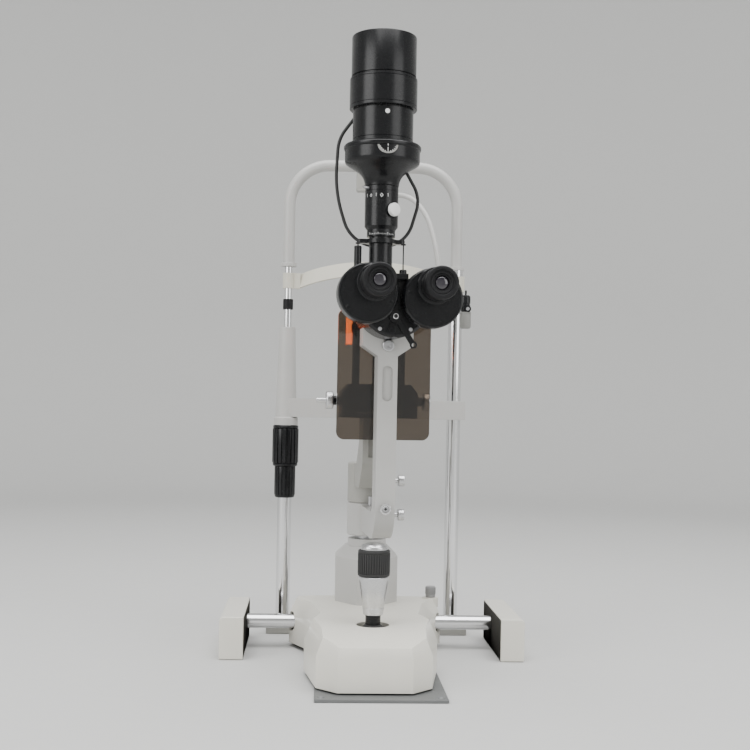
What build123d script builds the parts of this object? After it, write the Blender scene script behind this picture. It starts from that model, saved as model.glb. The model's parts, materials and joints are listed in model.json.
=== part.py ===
"""Slit lamp: examiner's microscope and illumination tower on a joystick base, with patient headrest.

Frame: X to the examiner's right, Y towards the patient, Z up. The origin is at table level, at the
centre of the four rail screws. Millimetres throughout. Both swinging arms are drawn pointing at the
examiner (local -Y) about the pivot axis, then turned by the rest swing and moved to the pivot.
"""

import math
import os

from build123d import *

os.makedirs("parts", exist_ok=True)

# Fits and gaps
running_clearance = 0.05
face_gap = 0.3
hole_slack = 0.4

# Table friction plate
plate_width = 140.0
plate_front_y = -277.0
plate_back_y = -75.0
plate_thickness = 3.0
plate_hole_radius = 2.25
plate_countersink_radius = 4.5
plate_hole_side_inset = 7.0
plate_hole_end_inset = 10.0

# Rails
rail_screw_spacing_x = 340.0
rail_screw_spacing_y = 120.0
rail_screw_hole_radius = 2.75
rail_length = 150.0
rail_inner_reach = 15.0
rail_outer_reach = 14.0
rail_cover_height = 51.0
rail_cover_wall = 2.5
rail_bed_thickness = 6.0
track_height = 16.0
rack_width = 8.0

# Axle, wheels and rack gearing
axle_radius = 9.0
axle_height = 32.0
axle_y = 8.0
axle_half_length = 179.0
tooth_module = 1.0
pinion_teeth = 24
tooth_addendum = 0.8
tooth_dedendum = 1.1
tooth_share_of_pitch = 0.4
tooth_flank_lean = 0.30
wheel_width = 4.5
guide_thickness = 4.5

# Base
base_x = -6.0
pivot_y = -5.0
base_bottom = 5.0
base_front_y = -257.5
base_back_y = 45.0
base_front_half_width = 40.0
base_shoulder_half_width = 62.5
base_flare_half_width = 76.0
base_waist_half_width = 67.0
base_wing_half_width = 96.0
base_front_height = 50.0
base_top_height = 64.0
base_back_height = 60.0
base_wall = 3.0
base_bevel_z = 40.0
base_bevel_inset = 10.0
chassis_thickness = 4.0
joystick_y = -185.0
joystick_hole_radius = 18.5
bearing_length = 26.0
bearing_offset_x = 42.0

# Joystick
joystick_pivot_z = 50.0
joystick_neck_radius = 8.5
joystick_cone_low_radius = 11.0
joystick_cone_high_radius = 17.0
joystick_cone_low_z = 75.0
joystick_cone_high_z = 118.0
grip_radius = 18.0
grip_height = 29.0
grip_cap_height = 9.0
grip_spigot_radius = 6.0
gimbal_outer_radius = 15.5
gimbal_inner_radius = 12.0
gimbal_height = 8.0
gimbal_pin_radius = 2.0
socket_bore_radius = 17.0
socket_outer_radius = 21.0

# Spindle and its housing
housing_half_width = 38.7
housing_front_half_width = 13.3
housing_front_reach = 43.0
housing_side_front_reach = 5.0
housing_side_back_reach = 35.0
housing_back_reach = 48.0
housing_bottom = 46.5
housing_shoulder_z = 117.0
housing_cap_z = 131.0
housing_top_z = 140.0
housing_cap_share = 0.66
housing_collar_radius = 24.0
spindle_radius = 14.0
spindle_top_radius = 9.0
spindle_bottom_z = 47.0
spindle_seat_z = 144.0
spindle_top_z = 238.0
test_rod_radius = 4.0
test_rod_depth = 25.0

# Arms
rest_swing = 5.0
hub_radius = 25.5
lower_hub_top_z = 185.0
upper_hub_top_z = 235.0
microscope_bar_width = 22.7
microscope_bar_depth = 28.0
microscope_bar_front = 150.0
microscope_arm_bottom = 152.0
microscope_arm_thickness = 31.0
microscope_arm_outer_bend = 40.0
crescent_width = 58.0
crescent_low_z = 363.0
crescent_high_z = 399.0
lamp_arm_width = 39.0
lamp_arm_front = 92.0
lamp_arm_bottom = 207.0
lock_knob_radius = 7.35
lock_knob_start = 38.0
lock_knob_length = 8.6
lock_screw_radius = 3.0

# Microscope
optical_height = 420.0
microscope_body_radius = 38.5
microscope_body_top = 446.0
microscope_body_front = 199.7
drum_middle_x = 2.2
drum_middle_z = 425.9
drum_roll = 3.0
drum_spacing = 71.0
drum_radius = 32.65
drum_back = 200.0
drum_front = 225.0
eyepiece_offset = 13.5
left_eyepiece_turn = 33.0
right_eyepiece_turn = 10.0
eyepiece_tube_radius = 14.0
eyepiece_tube_bore = 12.0
eyepiece_ring_radius = 17.4
eyepiece_ring_back = 232.0
eyepiece_ring_front = 262.0
eyepiece_step = 256.0
objective_radius = 22.0
objective_lens_radius = 18.0
objective_end = 112.0
head_screw_radius = 6.8
head_screw_z = 375.2
lever_pivot_z = 405.0
lever_length = 37.0
lever_lean = 33.0
lever_thickness = 3.0

# Breath shield
shield_width = 109.0
shield_low_z = 267.0
shield_high_z = 418.0
shield_thickness = 3.0
shield_corner_radius = 9.0
shield_back = 119.0

# Illumination tower
tower_distance = 75.0
tilt_axis_z = 312.0
foot_width = 89.6
foot_depth = 36.0
foot_low_z = 292.0
foot_high_z = 332.0
foot_ear_inner = 33.5
foot_floor = 5.5
barrel_radius = 14.0
trunnion_radius = 5.5
trunnion_reach = 53.5
width_shaft_radius = 3.0
width_knob_radius = 11.0
width_knob_inner = 54.0
width_knob_length = 8.6
width_shaft_left = 74.0
post_radius = 7.5
post_top_z = 405.0
mirror_housing_radius = 12.0
mirror_housing_top_z = 447.0
beam_bore_radius = 8.0
column_radius = 14.0
column_top_z = 516.0
side_rod_spacing = 55.0
side_rod_radius = 4.5
left_rod_top_z = 497.0
right_rod_top_z = 470.0
push_rod_radius = 0.8
crossbar_half_length = 29.0
crossbar_low_z = 500.0
crossbar_thickness = 5.0
slit_head_radius = 20.0
slit_head_neck_radius = 17.0
slit_head_low_z = 508.0
slit_head_body_z = 516.0
slit_head_top_z = 562.0
slit_knob_radius = 8.0
slit_knob_z = 538.5
slit_knob_turn = 30.0
filter_ring_radius = 20.0
filter_ring_top_z = 568.0

# Lamp head
bell_neck_top_z = 577.0
bell_low_z = 598.0
bell_radius = 45.0
bell_flange_radius = 46.3
bell_flange_low_z = 612.0
bell_top_z = 616.0
lamp_tube_radius = 36.25
lamp_tube_top_z = 660.0
lamp_ring_radius = 40.5
lamp_ring_top_z = 697.0
lamp_cap_radius = 38.85
lamp_cap_top_z = 747.0
lamp_wall = 3.0
cable_radius = 2.0
cable_behind = 21.5

# Amber filter flap on the left side rod
flap_low_z = 379.0
flap_high_z = 418.0
flap_outer_reach = 12.0
flap_thickness = 1.5
flap_collar_radius = 6.2

# Headrest
pole_y = 103.0
pole_spacing = 226.0
pole_radius = 9.3
thin_rod_radius = 5.0
pole_step_z = 330.0
beam_length = 268.0
beam_depth = 30.0
beam_height = 14.0
beam_screw_spacing = 190.0
beam_screw_hole_radius = 3.3
frame_tube_radius = 7.6
frame_top_z = 628.0
frame_bend_radius = 54.0
frame_end_z = 492.0
bracket_low_z = 289.0
bracket_high_z = 409.0
bracket_low_radius = 14.1
bracket_high_radius = 10.7
bracket_ring_radius = 16.0
bracket_ring_low_z = 278.0
bracket_bar_height = 25.0
bracket_bar_depth = 26.0
bracket_right_reach = 14.5
height_knob_radius = 17.5
height_knob_low_radius = 14.0
height_knob_step_z = 223.0
height_knob_low_z = 181.0
chin_cup_width = 66.0
chin_cup_depth = 46.0
chin_cup_height = 18.0
marker_radius = 6.75
marker_low_z = 433.0
marker_height = 14.0
belt_low_z = 461.5
belt_height = 20.5
belt_thickness = 2.4
belt_bow = 40.0
belt_rise = 18.0
fixation_tube_radius = 3.5
fixation_axis_z = 435.5


def vertical(radius, low, high, x=0.0, y=0.0):
    """Upright cylinder between two heights."""
    return Pos(x, y, (low + high) / 2) * Cylinder(radius, high - low)


def across(radius, left, right, y=0.0, z=0.0):
    """Cylinder lying along X between two positions."""
    return Pos((left + right) / 2, y, z) * Rot(0, 90, 0) * Cylinder(radius, right - left)


def lengthways(radius, near, far, x=0.0, z=0.0):
    """Cylinder lying along Y between two positions."""
    return Pos(x, (near + far) / 2, z) * Rot(90, 0, 0) * Cylinder(radius, far - near)


def brick(x_low, x_high, y_low, y_high, z_low, z_high):
    """Rectangular block between its low and high sides."""
    size = (x_high - x_low, y_high - y_low, z_high - z_low)
    middle = Pos((x_low + x_high) / 2, (y_low + y_high) / 2, (z_low + z_high) / 2)
    return middle * Box(*size)


def plan_prism(points, low, high):
    """Polygon drawn in plan, raised between two heights."""
    face = make_face(Polyline(*points, close=True))
    return Pos(0, 0, low) * extrude(face, amount=high - low)


def side_prism(points, left, right):
    """Polygon drawn as (y, z), run along X between two positions."""
    face = Plane.YZ * make_face(Polyline(*points, close=True))
    return Pos(left, 0, 0) * extrude(face, amount=right - left)


def front_prism(points, near, far):
    """Polygon drawn as (x, z), run along Y between two positions."""
    face = Plane.XZ * make_face(Polyline(*points, close=True))
    return Pos(0, far, 0) * extrude(face, amount=far - near)


def turned(points):
    """Solid of revolution about Z from (radius, z) points."""
    face = Plane.XZ * make_face(Polyline(*points, close=True))
    return revolve(face, Axis.Z)


def mirrored_points(points):
    """Close a right-hand outline by repeating it on the left."""
    left = [(-x, y) for x, y in reversed(points)]
    return points + left


def on_arm(shape):
    """Turn a part drawn on the pivot axis by the rest swing and put it on the pivot."""
    return Pos(base_x, pivot_y, 0) * Rot(0, 0, rest_swing) * shape


def on_tower(shape):
    """Place a part drawn about the tower's own axis."""
    return on_arm(Pos(0, -tower_distance, 0) * shape)


def both_sides(maker):
    """Two copies of one part, for the left and the right side."""
    return [maker(-1), maker(1)]


def save(name, *solids):
    """Write one node, with each of its solids."""
    shapes = []
    for item in solids:
        shapes.extend(item.solids())
    node = Compound(children=shapes) if len(shapes) > 1 else shapes[0]
    node.label = name
    export_step(node, f"parts/{name}.step")


# Table, rails and headrest


def friction_plate():
    """Countersunk sheet that the base's front pad slides on."""
    half = plate_width / 2
    plate = brick(-half, half, plate_front_y, plate_back_y, 0, plate_thickness)
    hole_x = half - plate_hole_side_inset
    for x in (-hole_x, hole_x):
        for y in (plate_front_y + plate_hole_end_inset, plate_back_y - plate_hole_end_inset):
            plate -= vertical(plate_hole_radius, -1, plate_thickness + 1, x, y)
            sink = Cone(plate_hole_radius, plate_countersink_radius, 2.0)
            plate -= Pos(x, y, plate_thickness - 1.0) * sink
    return plate


def rail_bed(side):
    """Screwed-down floor of one rail with the raised wheel track."""
    middle = rail_screw_spacing_x / 2
    half_length = rail_length / 2 - rail_cover_wall
    inner = middle - rail_inner_reach + 2.0
    outer = middle + rail_outer_reach - rail_cover_wall
    bed = brick(inner, outer, -half_length, half_length, 0, rail_bed_thickness)
    bed += brick(outer - 7.0, outer, -half_length, half_length, rail_bed_thickness, track_height)
    for y in (-rail_screw_spacing_y / 2, rail_screw_spacing_y / 2):
        bed -= vertical(rail_screw_hole_radius, -1, rail_bed_thickness + 1, middle, y)
    return bed if side > 0 else mirror(bed, Plane.YZ)


def tooth_pitch():
    """Distance between neighbouring teeth along the pitch line."""
    return math.pi * tooth_module


def pitch_radius():
    """Pitch radius of the pinion."""
    return tooth_module * pinion_teeth / 2


def gear_rack(side):
    """Toothed rack beside the wheel track."""
    pitch_line = axle_height - pitch_radius()
    tip = pitch_line + tooth_addendum
    root = pitch_line - tooth_dedendum
    half_width = tooth_share_of_pitch * tooth_pitch() / 2
    half_length = rail_length / 2 - rail_cover_wall
    first = -int((half_length - 4.0 + axle_y) / tooth_pitch())
    last = int((half_length - 4.0 - axle_y) / tooth_pitch())
    points = [(-half_length, rail_bed_thickness), (-half_length, root)]
    for number in range(first, last):
        centre = axle_y + (number + 0.5) * tooth_pitch()
        wide = half_width + tooth_flank_lean
        narrow = half_width - tooth_flank_lean
        points += [(centre - wide, root), (centre - narrow, tip)]
        points += [(centre + narrow, tip), (centre + wide, root)]
    points += [(half_length, root), (half_length, rail_bed_thickness)]
    inner = rail_screw_spacing_x / 2 - 12.0
    rack = side_prism(points, inner, inner + rack_width)
    return rack if side > 0 else mirror(rack, Plane.YZ)


def rail_cover(side):
    """Moulded cover of one rail, open towards the axle."""
    middle = rail_screw_spacing_x / 2
    inner = middle - rail_inner_reach
    outer = middle + rail_outer_reach
    half = rail_length / 2
    wall = rail_cover_wall
    shell = brick(inner, outer, -half, half, 0, rail_cover_height)
    corner = shell.edges().filter_by(Axis.Y).group_by(Axis.Z)[-1].sort_by(Axis.X)[-1]
    shell = fillet([corner], 5.0)
    shell -= brick(inner - 1, outer - wall, -half + wall, half - wall, -1, rail_cover_height - wall)
    return shell if side > 0 else mirror(shell, Plane.YZ)


def headrest_beam():
    """Foot bar that both poles stand in."""
    half = beam_length / 2
    y_low = pole_y - beam_depth / 2
    beam = brick(-half, half, y_low, y_low + beam_depth, 0, beam_height)
    beam = chamfer(beam.edges().filter_by(Axis.X).group_by(Axis.Z)[-1], 2.5)
    for x in (-beam_screw_spacing / 2, beam_screw_spacing / 2):
        beam -= vertical(beam_screw_hole_radius, -1, beam_height + 1, x, pole_y)
    return beam


def headrest_pole(side):
    """Plated pole: the left one steps down to a thin rod inside the sleeve."""
    x = side * pole_spacing / 2
    if side > 0:
        return vertical(pole_radius, beam_height, frame_end_z, x, pole_y)
    pole = vertical(pole_radius, beam_height, pole_step_z, x, pole_y)
    return pole + vertical(thin_rod_radius, pole_step_z, frame_end_z, x, pole_y)


def forehead_frame():
    """Bent tube over the patient's head."""
    half = pole_spacing / 2
    path = FilletPolyline(
        (-half, pole_y, frame_end_z),
        (-half, pole_y, frame_top_z),
        (half, pole_y, frame_top_z),
        (half, pole_y, frame_end_z),
        radius=frame_bend_radius,
    )
    start = Plane((-half, pole_y, frame_end_z), x_dir=(1, 0, 0), z_dir=(0, 0, 1))
    return sweep(start * Circle(frame_tube_radius), path=path)


def pole_joiner(side):
    """Collar over the joint of pole and bent tube."""
    x = side * pole_spacing / 2
    inner = pole_radius if side > 0 else thin_rod_radius
    collar = vertical(pole_radius + 1.2, frame_end_z - 1.5, frame_end_z + 3.5, x, pole_y)
    collar -= vertical(inner, frame_end_z - 3, frame_end_z, x, pole_y)
    return collar - vertical(frame_tube_radius, frame_end_z, frame_end_z + 5, x, pole_y)


def fixation_bracket():
    """Clamp block under the middle of the bent tube."""
    block = brick(-24.0, 24.5, pole_y - 8, pole_y + 8, 594.0, frame_top_z)
    block = chamfer(block.edges().filter_by(Axis.Y), 2.0)
    block -= across(frame_tube_radius, -40, 40, pole_y, frame_top_z)
    block -= vertical(4.0 + running_clearance, 593.0, 612.0, 0.0, pole_y)
    return block


def canthus_marker():
    """Black eye-level ring on the left rod."""
    x = -pole_spacing / 2
    ring = vertical(marker_radius, marker_low_z, marker_low_z + marker_height, x, pole_y)
    ring -= vertical(thin_rod_radius, marker_low_z - 1, marker_low_z + marker_height + 1, x, pole_y)
    return ring


def forehead_belt():
    """Bowed band looped on both poles."""
    half = pole_spacing / 2 - 12.0
    bend = (half * half + belt_bow * belt_bow) / (2 * belt_bow)
    centre_y = pole_y - belt_bow + bend
    band = vertical(bend, 0, belt_height, 0, centre_y)
    band -= vertical(bend - belt_thickness, -1, belt_height + 1, 0, centre_y)
    band &= brick(-half, half, pole_y - belt_bow - 5, pole_y + 5, -1, belt_height + 1)
    lean = math.degrees(math.atan(belt_rise / belt_bow))
    band = Pos(0, pole_y, belt_low_z) * Rot(-lean, 0, 0) * Pos(0, -pole_y, 0) * band
    for side in (-1, 1):
        x = side * pole_spacing / 2
        inner = pole_radius if side > 0 else thin_rod_radius
        loop = vertical(inner + 2.4, belt_low_z, belt_low_z + belt_height, x, pole_y)
        ear = brick(-16, 0, -2.4, 1.2, belt_low_z, belt_low_z + belt_height)
        ear = Pos(x, pole_y, 0) * (ear if side > 0 else mirror(ear, Plane.YZ))
        band += loop + ear
        band -= vertical(inner, belt_low_z - 5, belt_low_z + belt_height + 5, x, pole_y)
    return band


# Chin rest


def chinrest_bracket():
    """Tapered sleeve on the left pole, crossbar and right slider in one casting."""
    left = -pole_spacing / 2
    right = pole_spacing / 2
    sleeve = turned(
        [
            (0, bracket_ring_low_z),
            (bracket_ring_radius, bracket_ring_low_z),
            (bracket_ring_radius, bracket_low_z - 1.5),
            (bracket_low_radius, bracket_low_z),
            (bracket_high_radius, bracket_high_z),
            (0, bracket_high_z),
        ]
    )
    body = Pos(left, pole_y, 0) * sleeve
    half = bracket_bar_depth / 2
    high = bracket_low_z + bracket_bar_height
    body += brick(left, right + bracket_right_reach, pole_y - half, pole_y + half, bracket_low_z, high)
    bore = pole_radius + running_clearance
    body -= vertical(bore, bracket_ring_low_z - 1, bracket_high_z - 17, left, pole_y)
    body -= vertical(thin_rod_radius + running_clearance, 300, bracket_high_z + 1, left, pole_y)
    body -= vertical(bore, bracket_low_z - 1, high + 1, right, pole_y)
    return body


def chin_cup():
    """Hollowed chin cup on the crossbar."""
    low = bracket_low_z + bracket_bar_height
    half = chin_cup_width / 2
    y_low = pole_y - chin_cup_depth / 2
    cup = brick(-half, half, y_low, y_low + chin_cup_depth, low, low + chin_cup_height)
    cup = fillet(cup.edges().filter_by(Axis.Z), 10.0)
    scoop = lengthways(60.0, y_low - 5, y_low + chin_cup_depth + 5, 0, low + 66.0)
    return cup - scoop


def height_knob():
    """Stepped knob that climbs the left pole."""
    x = -pole_spacing / 2
    top = bracket_ring_low_z - face_gap
    knob = vertical(height_knob_radius, height_knob_step_z, top, x, pole_y)
    knob = chamfer(knob.edges().filter_by(GeomType.CIRCLE), 1.5)
    low = vertical(height_knob_low_radius, height_knob_low_z, height_knob_step_z, x, pole_y)
    knob += chamfer(low.edges().filter_by(GeomType.CIRCLE).group_by(Axis.Z)[0], 1.5)
    knob -= vertical(pole_radius + running_clearance, height_knob_low_z - 1, top + 1, x, pole_y)
    return knob


# Leads and bent rods


def route(points):
    """Line through the points with one large arc at each corner."""
    radii = []
    for before, here, after in zip(points, points[1:], points[2:]):
        first = Vector(*here) - Vector(*before)
        second = Vector(*after) - Vector(*here)
        half_turn = math.radians(first.get_angle(second)) / 2
        radii.append(0.45 * min(first.length, second.length) / math.tan(half_turn))
    print("route radii mm", [round(radius, 1) for radius in radii])
    return radii


def tube_along(points, radius):
    """Round rod or lead along a route of straight runs joined by tangent arcs."""
    radii = route(points)
    path = FilletPolyline(*points, radius=radii)
    heading = Vector(*points[1]) - Vector(*points[0])
    start = Plane(origin=points[0], z_dir=heading)
    return sweep(start * Circle(radius), path=path)


def lamp_cable():
    """Lead that leaves the lamp tube, passes behind the column and returns to the bell."""
    points = [
        (-33.0, 14.0, 652.0),
        (-51.0, 20.0, 628.0),
        (-54.0, 21.0, 565.0),
        (-33.0, cable_behind, 500.0),
        (33.0, cable_behind, 500.0),
        (50.0, 18.0, 560.0),
        (31.5, 16.5, 591.0),
    ]
    return on_tower(tube_along(points, cable_radius))


def fixation_arm():
    """Bent rod that carries the fixation lamp, with its pivot pin."""
    points = [
        (0.0, pole_y, 588.0),
        (46.0, 97.0, 592.0),
        (70.0, 72.0, 560.0),
        (82.0, 50.0, 508.0),
        (85.0, 40.0, 446.0),
        (101.0, 40.0, 436.5),
    ]
    arm = tube_along(points, fixation_tube_radius)
    arm += vertical(4.0, 584.0, 611.0, 0.0, pole_y)
    arm += vertical(6.5, 582.0, 593.7, 0.0, pole_y)
    boss = across(5.5, 98.0, 109.0, 40.0, fixation_axis_z)
    boss = fillet(boss.edges().filter_by(GeomType.CIRCLE), 2.0)
    arm += boss
    return arm - across(2.0 + running_clearance, 99.0, 115.0, 40.0, fixation_axis_z)


def fixation_lamp():
    """Small swivelling target lamp."""
    x = 119.0
    body = vertical(7.2, 408.5, 430.0, x, 40.0)
    body = fillet(body.edges().filter_by(GeomType.CIRCLE).group_by(Axis.Z)[0], 3.0)
    neck = vertical(6.2, 430.0, 452.0, x, 40.0)
    body += chamfer(neck.edges().filter_by(GeomType.CIRCLE).group_by(Axis.Z)[-1], 1.2)
    body += lengthways(4.5, 32.5, 40.0, x + 2.0, 434.0)
    body += across(2.0, 100.0, x - 4.0, 40.0, fixation_axis_z)
    body += vertical(1.3, 451.0, 458.5, x, 40.0)
    body -= lengthways(3.0, 44.0, 51.0, x, 440.0)
    return body


# Carriage and axle


def axle_guide(side):
    """Guide block that keeps the axle square between rack and track."""
    low_x = rail_screw_spacing_x / 2 - 2.5
    y = axle_y
    block = brick(low_x, low_x + guide_thickness, y - 14, y + 14, rail_bed_thickness + 1.0, 45.0)
    block -= across(axle_radius + running_clearance, low_x - 1, low_x + 10, y, axle_height)
    return block if side > 0 else mirror(block, Plane.YZ)


def axle_shaft():
    """Plated shaft that runs through the base."""
    return across(axle_radius, -axle_half_length, axle_half_length, axle_y, axle_height)


def pinion_outline():
    """Tooth outline about the axle, as (y, z) points."""
    tip = pitch_radius() + tooth_addendum
    root = pitch_radius() - tooth_dedendum
    half = tooth_share_of_pitch * tooth_pitch() / 2 / pitch_radius()
    lean = tooth_flank_lean / pitch_radius()
    points = []
    for number in range(pinion_teeth):
        middle = 2 * math.pi * number / pinion_teeth - math.pi / 2
        for radius, angle in (
            (root, middle - half - lean),
            (tip, middle - half + lean),
            (tip, middle + half - lean),
            (root, middle + half + lean),
        ):
            points.append((axle_y + radius * math.cos(angle), axle_height + radius * math.sin(angle)))
    return points


def axle_wheel(side):
    """Smooth wheel that carries the axle end on its track."""
    outer = axle_half_length
    radius = axle_height - track_height - face_gap
    wheel = across(radius, outer - wheel_width, outer, axle_y, axle_height)
    wheel -= across(axle_radius, outer - 10, outer + 1, axle_y, axle_height)
    return wheel if side > 0 else mirror(wheel, Plane.YZ)


def axle_pinion(side):
    """Toothed pinion that keeps both axle ends in step."""
    inner = rail_screw_spacing_x / 2 - 11.5
    pinion = side_prism(pinion_outline(), inner, inner + rack_width - 1.0)
    pinion -= across(axle_radius, inner - 1, inner + 10, axle_y, axle_height)
    return pinion if side > 0 else mirror(pinion, Plane.YZ)


# Base


def base_outline():
    """Right-hand outline of the base in plan, about its own middle."""
    return [
        (base_front_half_width, base_front_y),
        (base_shoulder_half_width, base_front_y + 23.0),
        (base_flare_half_width, -148.0),
        (base_waist_half_width, -108.0),
        (base_flare_half_width + 1.0, -28.0),
        (base_wing_half_width, 12.0),
        (base_wing_half_width - 4.0, 36.0),
        (62.0, base_back_y),
    ]


def base_profile(wall, drop):
    """Side outline of the base as (y, z), moved in by a wall and down by a drop."""
    return [
        (base_front_y + wall, base_bottom - 1),
        (base_front_y + wall, base_front_height - drop),
        (-236.0, base_front_height + 7.0 - drop),
        (-205.0, base_top_height - drop),
        (-150.0, base_top_height - drop),
        (-60.0, base_top_height - 2.0 - drop),
        (base_back_y - wall, base_back_height - drop),
        (base_back_y - wall, base_bottom - 1),
    ]


def housing_outline(share=1.0):
    """Six-sided plan of the spindle housing about the pivot."""
    right = [
        (housing_front_half_width, -housing_front_reach),
        (housing_half_width, -housing_side_front_reach),
        (housing_half_width, housing_side_back_reach),
        (24.0, housing_back_reach),
    ]
    points = mirrored_points(right)
    return [(x * share, y * share) for x, y in points]


def base_cover():
    """Moulded cover with the joystick hole, the housing opening and the axle ways."""
    plan = make_face(Polyline(*mirrored_points(base_outline()), close=True))
    outer = Pos(0, 0, base_bottom) * extrude(plan, amount=base_bevel_z - base_bottom)
    top_plan = offset(plan, -base_bevel_inset, kind=Kind.INTERSECTION)
    outer += loft([Pos(0, 0, base_bevel_z) * plan, Pos(0, 0, base_bevel_z + 24.0) * top_plan], ruled=True)
    outer &= side_prism(base_profile(0.0, 0.0), -120, 120)
    inner_plan = offset(plan, -base_wall, kind=Kind.INTERSECTION)
    inner_top = offset(plan, -base_bevel_inset - base_wall, kind=Kind.INTERSECTION)
    inner = Pos(0, 0, base_bottom - 2) * extrude(inner_plan, amount=base_bevel_z - base_bottom + 2)
    inner_low = Pos(0, 0, base_bevel_z) * inner_plan
    inner_high = Pos(0, 0, base_bevel_z + 24.0) * inner_top
    inner += loft([inner_low, inner_high], ruled=True)
    inner &= side_prism(base_profile(base_wall, base_wall + 1.5), -120, 120)
    shell = outer - inner
    shell -= vertical(joystick_hole_radius, 40, 80, 0, joystick_y)
    shell -= Pos(0, pivot_y, 0) * plan_prism(housing_outline(), 40, 80)
    shell -= across(axle_radius + 3.0, -110, 110, axle_y, axle_height)
    boss_x = 84.0
    shell += vertical(10.0, 50.0, 62.0, boss_x, 20.0)
    shell -= vertical(lock_screw_radius + running_clearance, 40, 70, boss_x, 20.0)
    return Pos(base_x, 0, 0) * shell


def base_chassis():
    """Floor plate with the joystick socket."""
    plan = make_face(Polyline(*mirrored_points(base_outline()), close=True))
    inset = offset(plan, -base_wall, kind=Kind.INTERSECTION)
    floor = Pos(0, 0, base_bottom) * extrude(inset, amount=chassis_thickness)
    floor += vertical(socket_outer_radius, base_bottom, 57.0, 0, joystick_y)
    floor -= vertical(socket_bore_radius, base_bottom + chassis_thickness, 80, 0, joystick_y)
    pin = gimbal_pin_radius + running_clearance
    floor -= across(pin, -30, 30, joystick_y, joystick_pivot_z)
    return Pos(base_x, 0, 0) * floor


def glide_pad():
    """Pad that the front of the base slides on."""
    low = plate_thickness + 0.2
    return vertical(12.0, low, base_bottom, base_x, -215.0)


def linear_bearing(side):
    """Bearing block on the axle that also carries the housing."""
    middle = side * bearing_offset_x
    low = base_bottom + chassis_thickness
    half = bearing_length / 2
    block = brick(middle - half, middle + half, -22.0, 30.0, low, housing_bottom)
    block -= across(axle_radius + running_clearance, middle - 20, middle + 20, axle_y, axle_height)
    return Pos(base_x, 0, 0) * block


def spindle_housing():
    """Six-sided casting that guides the elevation spindle."""
    body = plan_prism(housing_outline(), housing_bottom, housing_shoulder_z)
    lower = Pos(0, 0, housing_shoulder_z) * make_face(Polyline(*housing_outline(), close=True))
    small = housing_outline(housing_cap_share)
    upper = Pos(0, 0, housing_cap_z) * make_face(Polyline(*small, close=True))
    body += loft([lower, upper], ruled=True)
    body += vertical(housing_collar_radius, housing_cap_z, housing_top_z)
    body -= vertical(spindle_radius + running_clearance, housing_bottom - 1, housing_top_z + 1)
    return Pos(base_x, pivot_y, 0) * body


def base_lock_knob():
    """Knurled thumb screw on the rear right boss."""
    knob = vertical(6.75, 62.0 + face_gap, 76.0, 0, 0)
    knob = chamfer(knob.edges().filter_by(GeomType.CIRCLE), 1.0)
    knob += vertical(lock_screw_radius, 44.0, 63.0, 0, 0)
    return Pos(base_x + 84.0, 20.0, 0) * knob


# Joystick


def joystick_gimbal():
    """Ring that tips left and right of the socket pins."""
    half = gimbal_height / 2
    z = joystick_pivot_z
    ring = vertical(gimbal_outer_radius, z - half, z + half)
    ring += across(gimbal_pin_radius, -socket_outer_radius, socket_outer_radius, 0, z)
    ring -= vertical(gimbal_inner_radius, z - half - 1, z + half + 1)
    ring -= lengthways(gimbal_pin_radius + running_clearance, -20, 20, 0, z)
    return Pos(base_x, joystick_y, 0) * ring


def joystick_stem():
    """Stem with its cross pin and the spigot for the grip."""
    z = joystick_pivot_z
    stem = vertical(joystick_neck_radius, z - 12, joystick_cone_low_z)
    stem += lengthways(gimbal_pin_radius, -gimbal_outer_radius + 0.5, gimbal_outer_radius - 0.5, 0, z)
    stem += vertical(grip_spigot_radius, joystick_cone_low_z, joystick_cone_high_z + grip_height - 4)
    return Pos(base_x, joystick_y, 0) * stem


def joystick_cone():
    """Flared metal sleeve under the grip."""
    height = joystick_cone_high_z - joystick_cone_low_z
    middle = (joystick_cone_high_z + joystick_cone_low_z) / 2
    cone = Pos(0, 0, middle) * Cone(joystick_cone_low_radius, joystick_cone_high_radius, height)
    cone -= vertical(grip_spigot_radius, joystick_cone_low_z - 1, joystick_cone_high_z + 1)
    return Pos(base_x, joystick_y, 0) * cone


def joystick_grip():
    """Ribbed rubber sleeve that is turned to raise the spindle."""
    low = joystick_cone_high_z + face_gap
    high = joystick_cone_high_z + grip_height
    grip = vertical(grip_radius, low, high)
    grip = fillet(grip.edges().filter_by(GeomType.CIRCLE), 2.0)
    grip -= vertical(grip_spigot_radius + running_clearance, low - 1, high - 3)
    return Pos(base_x, joystick_y, 0) * grip


def joystick_cap():
    """Domed metal cap on the grip."""
    low = joystick_cone_high_z + grip_height
    cap = vertical(grip_radius - 3.0, low, low + grip_cap_height)
    cap = fillet(cap.edges().filter_by(GeomType.CIRCLE).group_by(Axis.Z)[-1], 6.0)
    return Pos(base_x, joystick_y, 0) * cap


# Spindle and arms


def spindle_shaft():
    """Elevation spindle with the test-rod socket in its top."""
    shaft = vertical(spindle_radius, spindle_bottom_z, spindle_seat_z)
    shaft += vertical(spindle_top_radius, spindle_seat_z, spindle_top_z)
    shaft -= vertical(test_rod_radius, spindle_top_z - test_rod_depth, spindle_top_z + 1)
    return Pos(base_x, pivot_y, 0) * shaft


def arm_hub(low, high):
    """Bored hub of a swinging arm."""
    hub = vertical(hub_radius, low, high)
    return chamfer(hub.edges().filter_by(GeomType.CIRCLE), 1.2)


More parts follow.
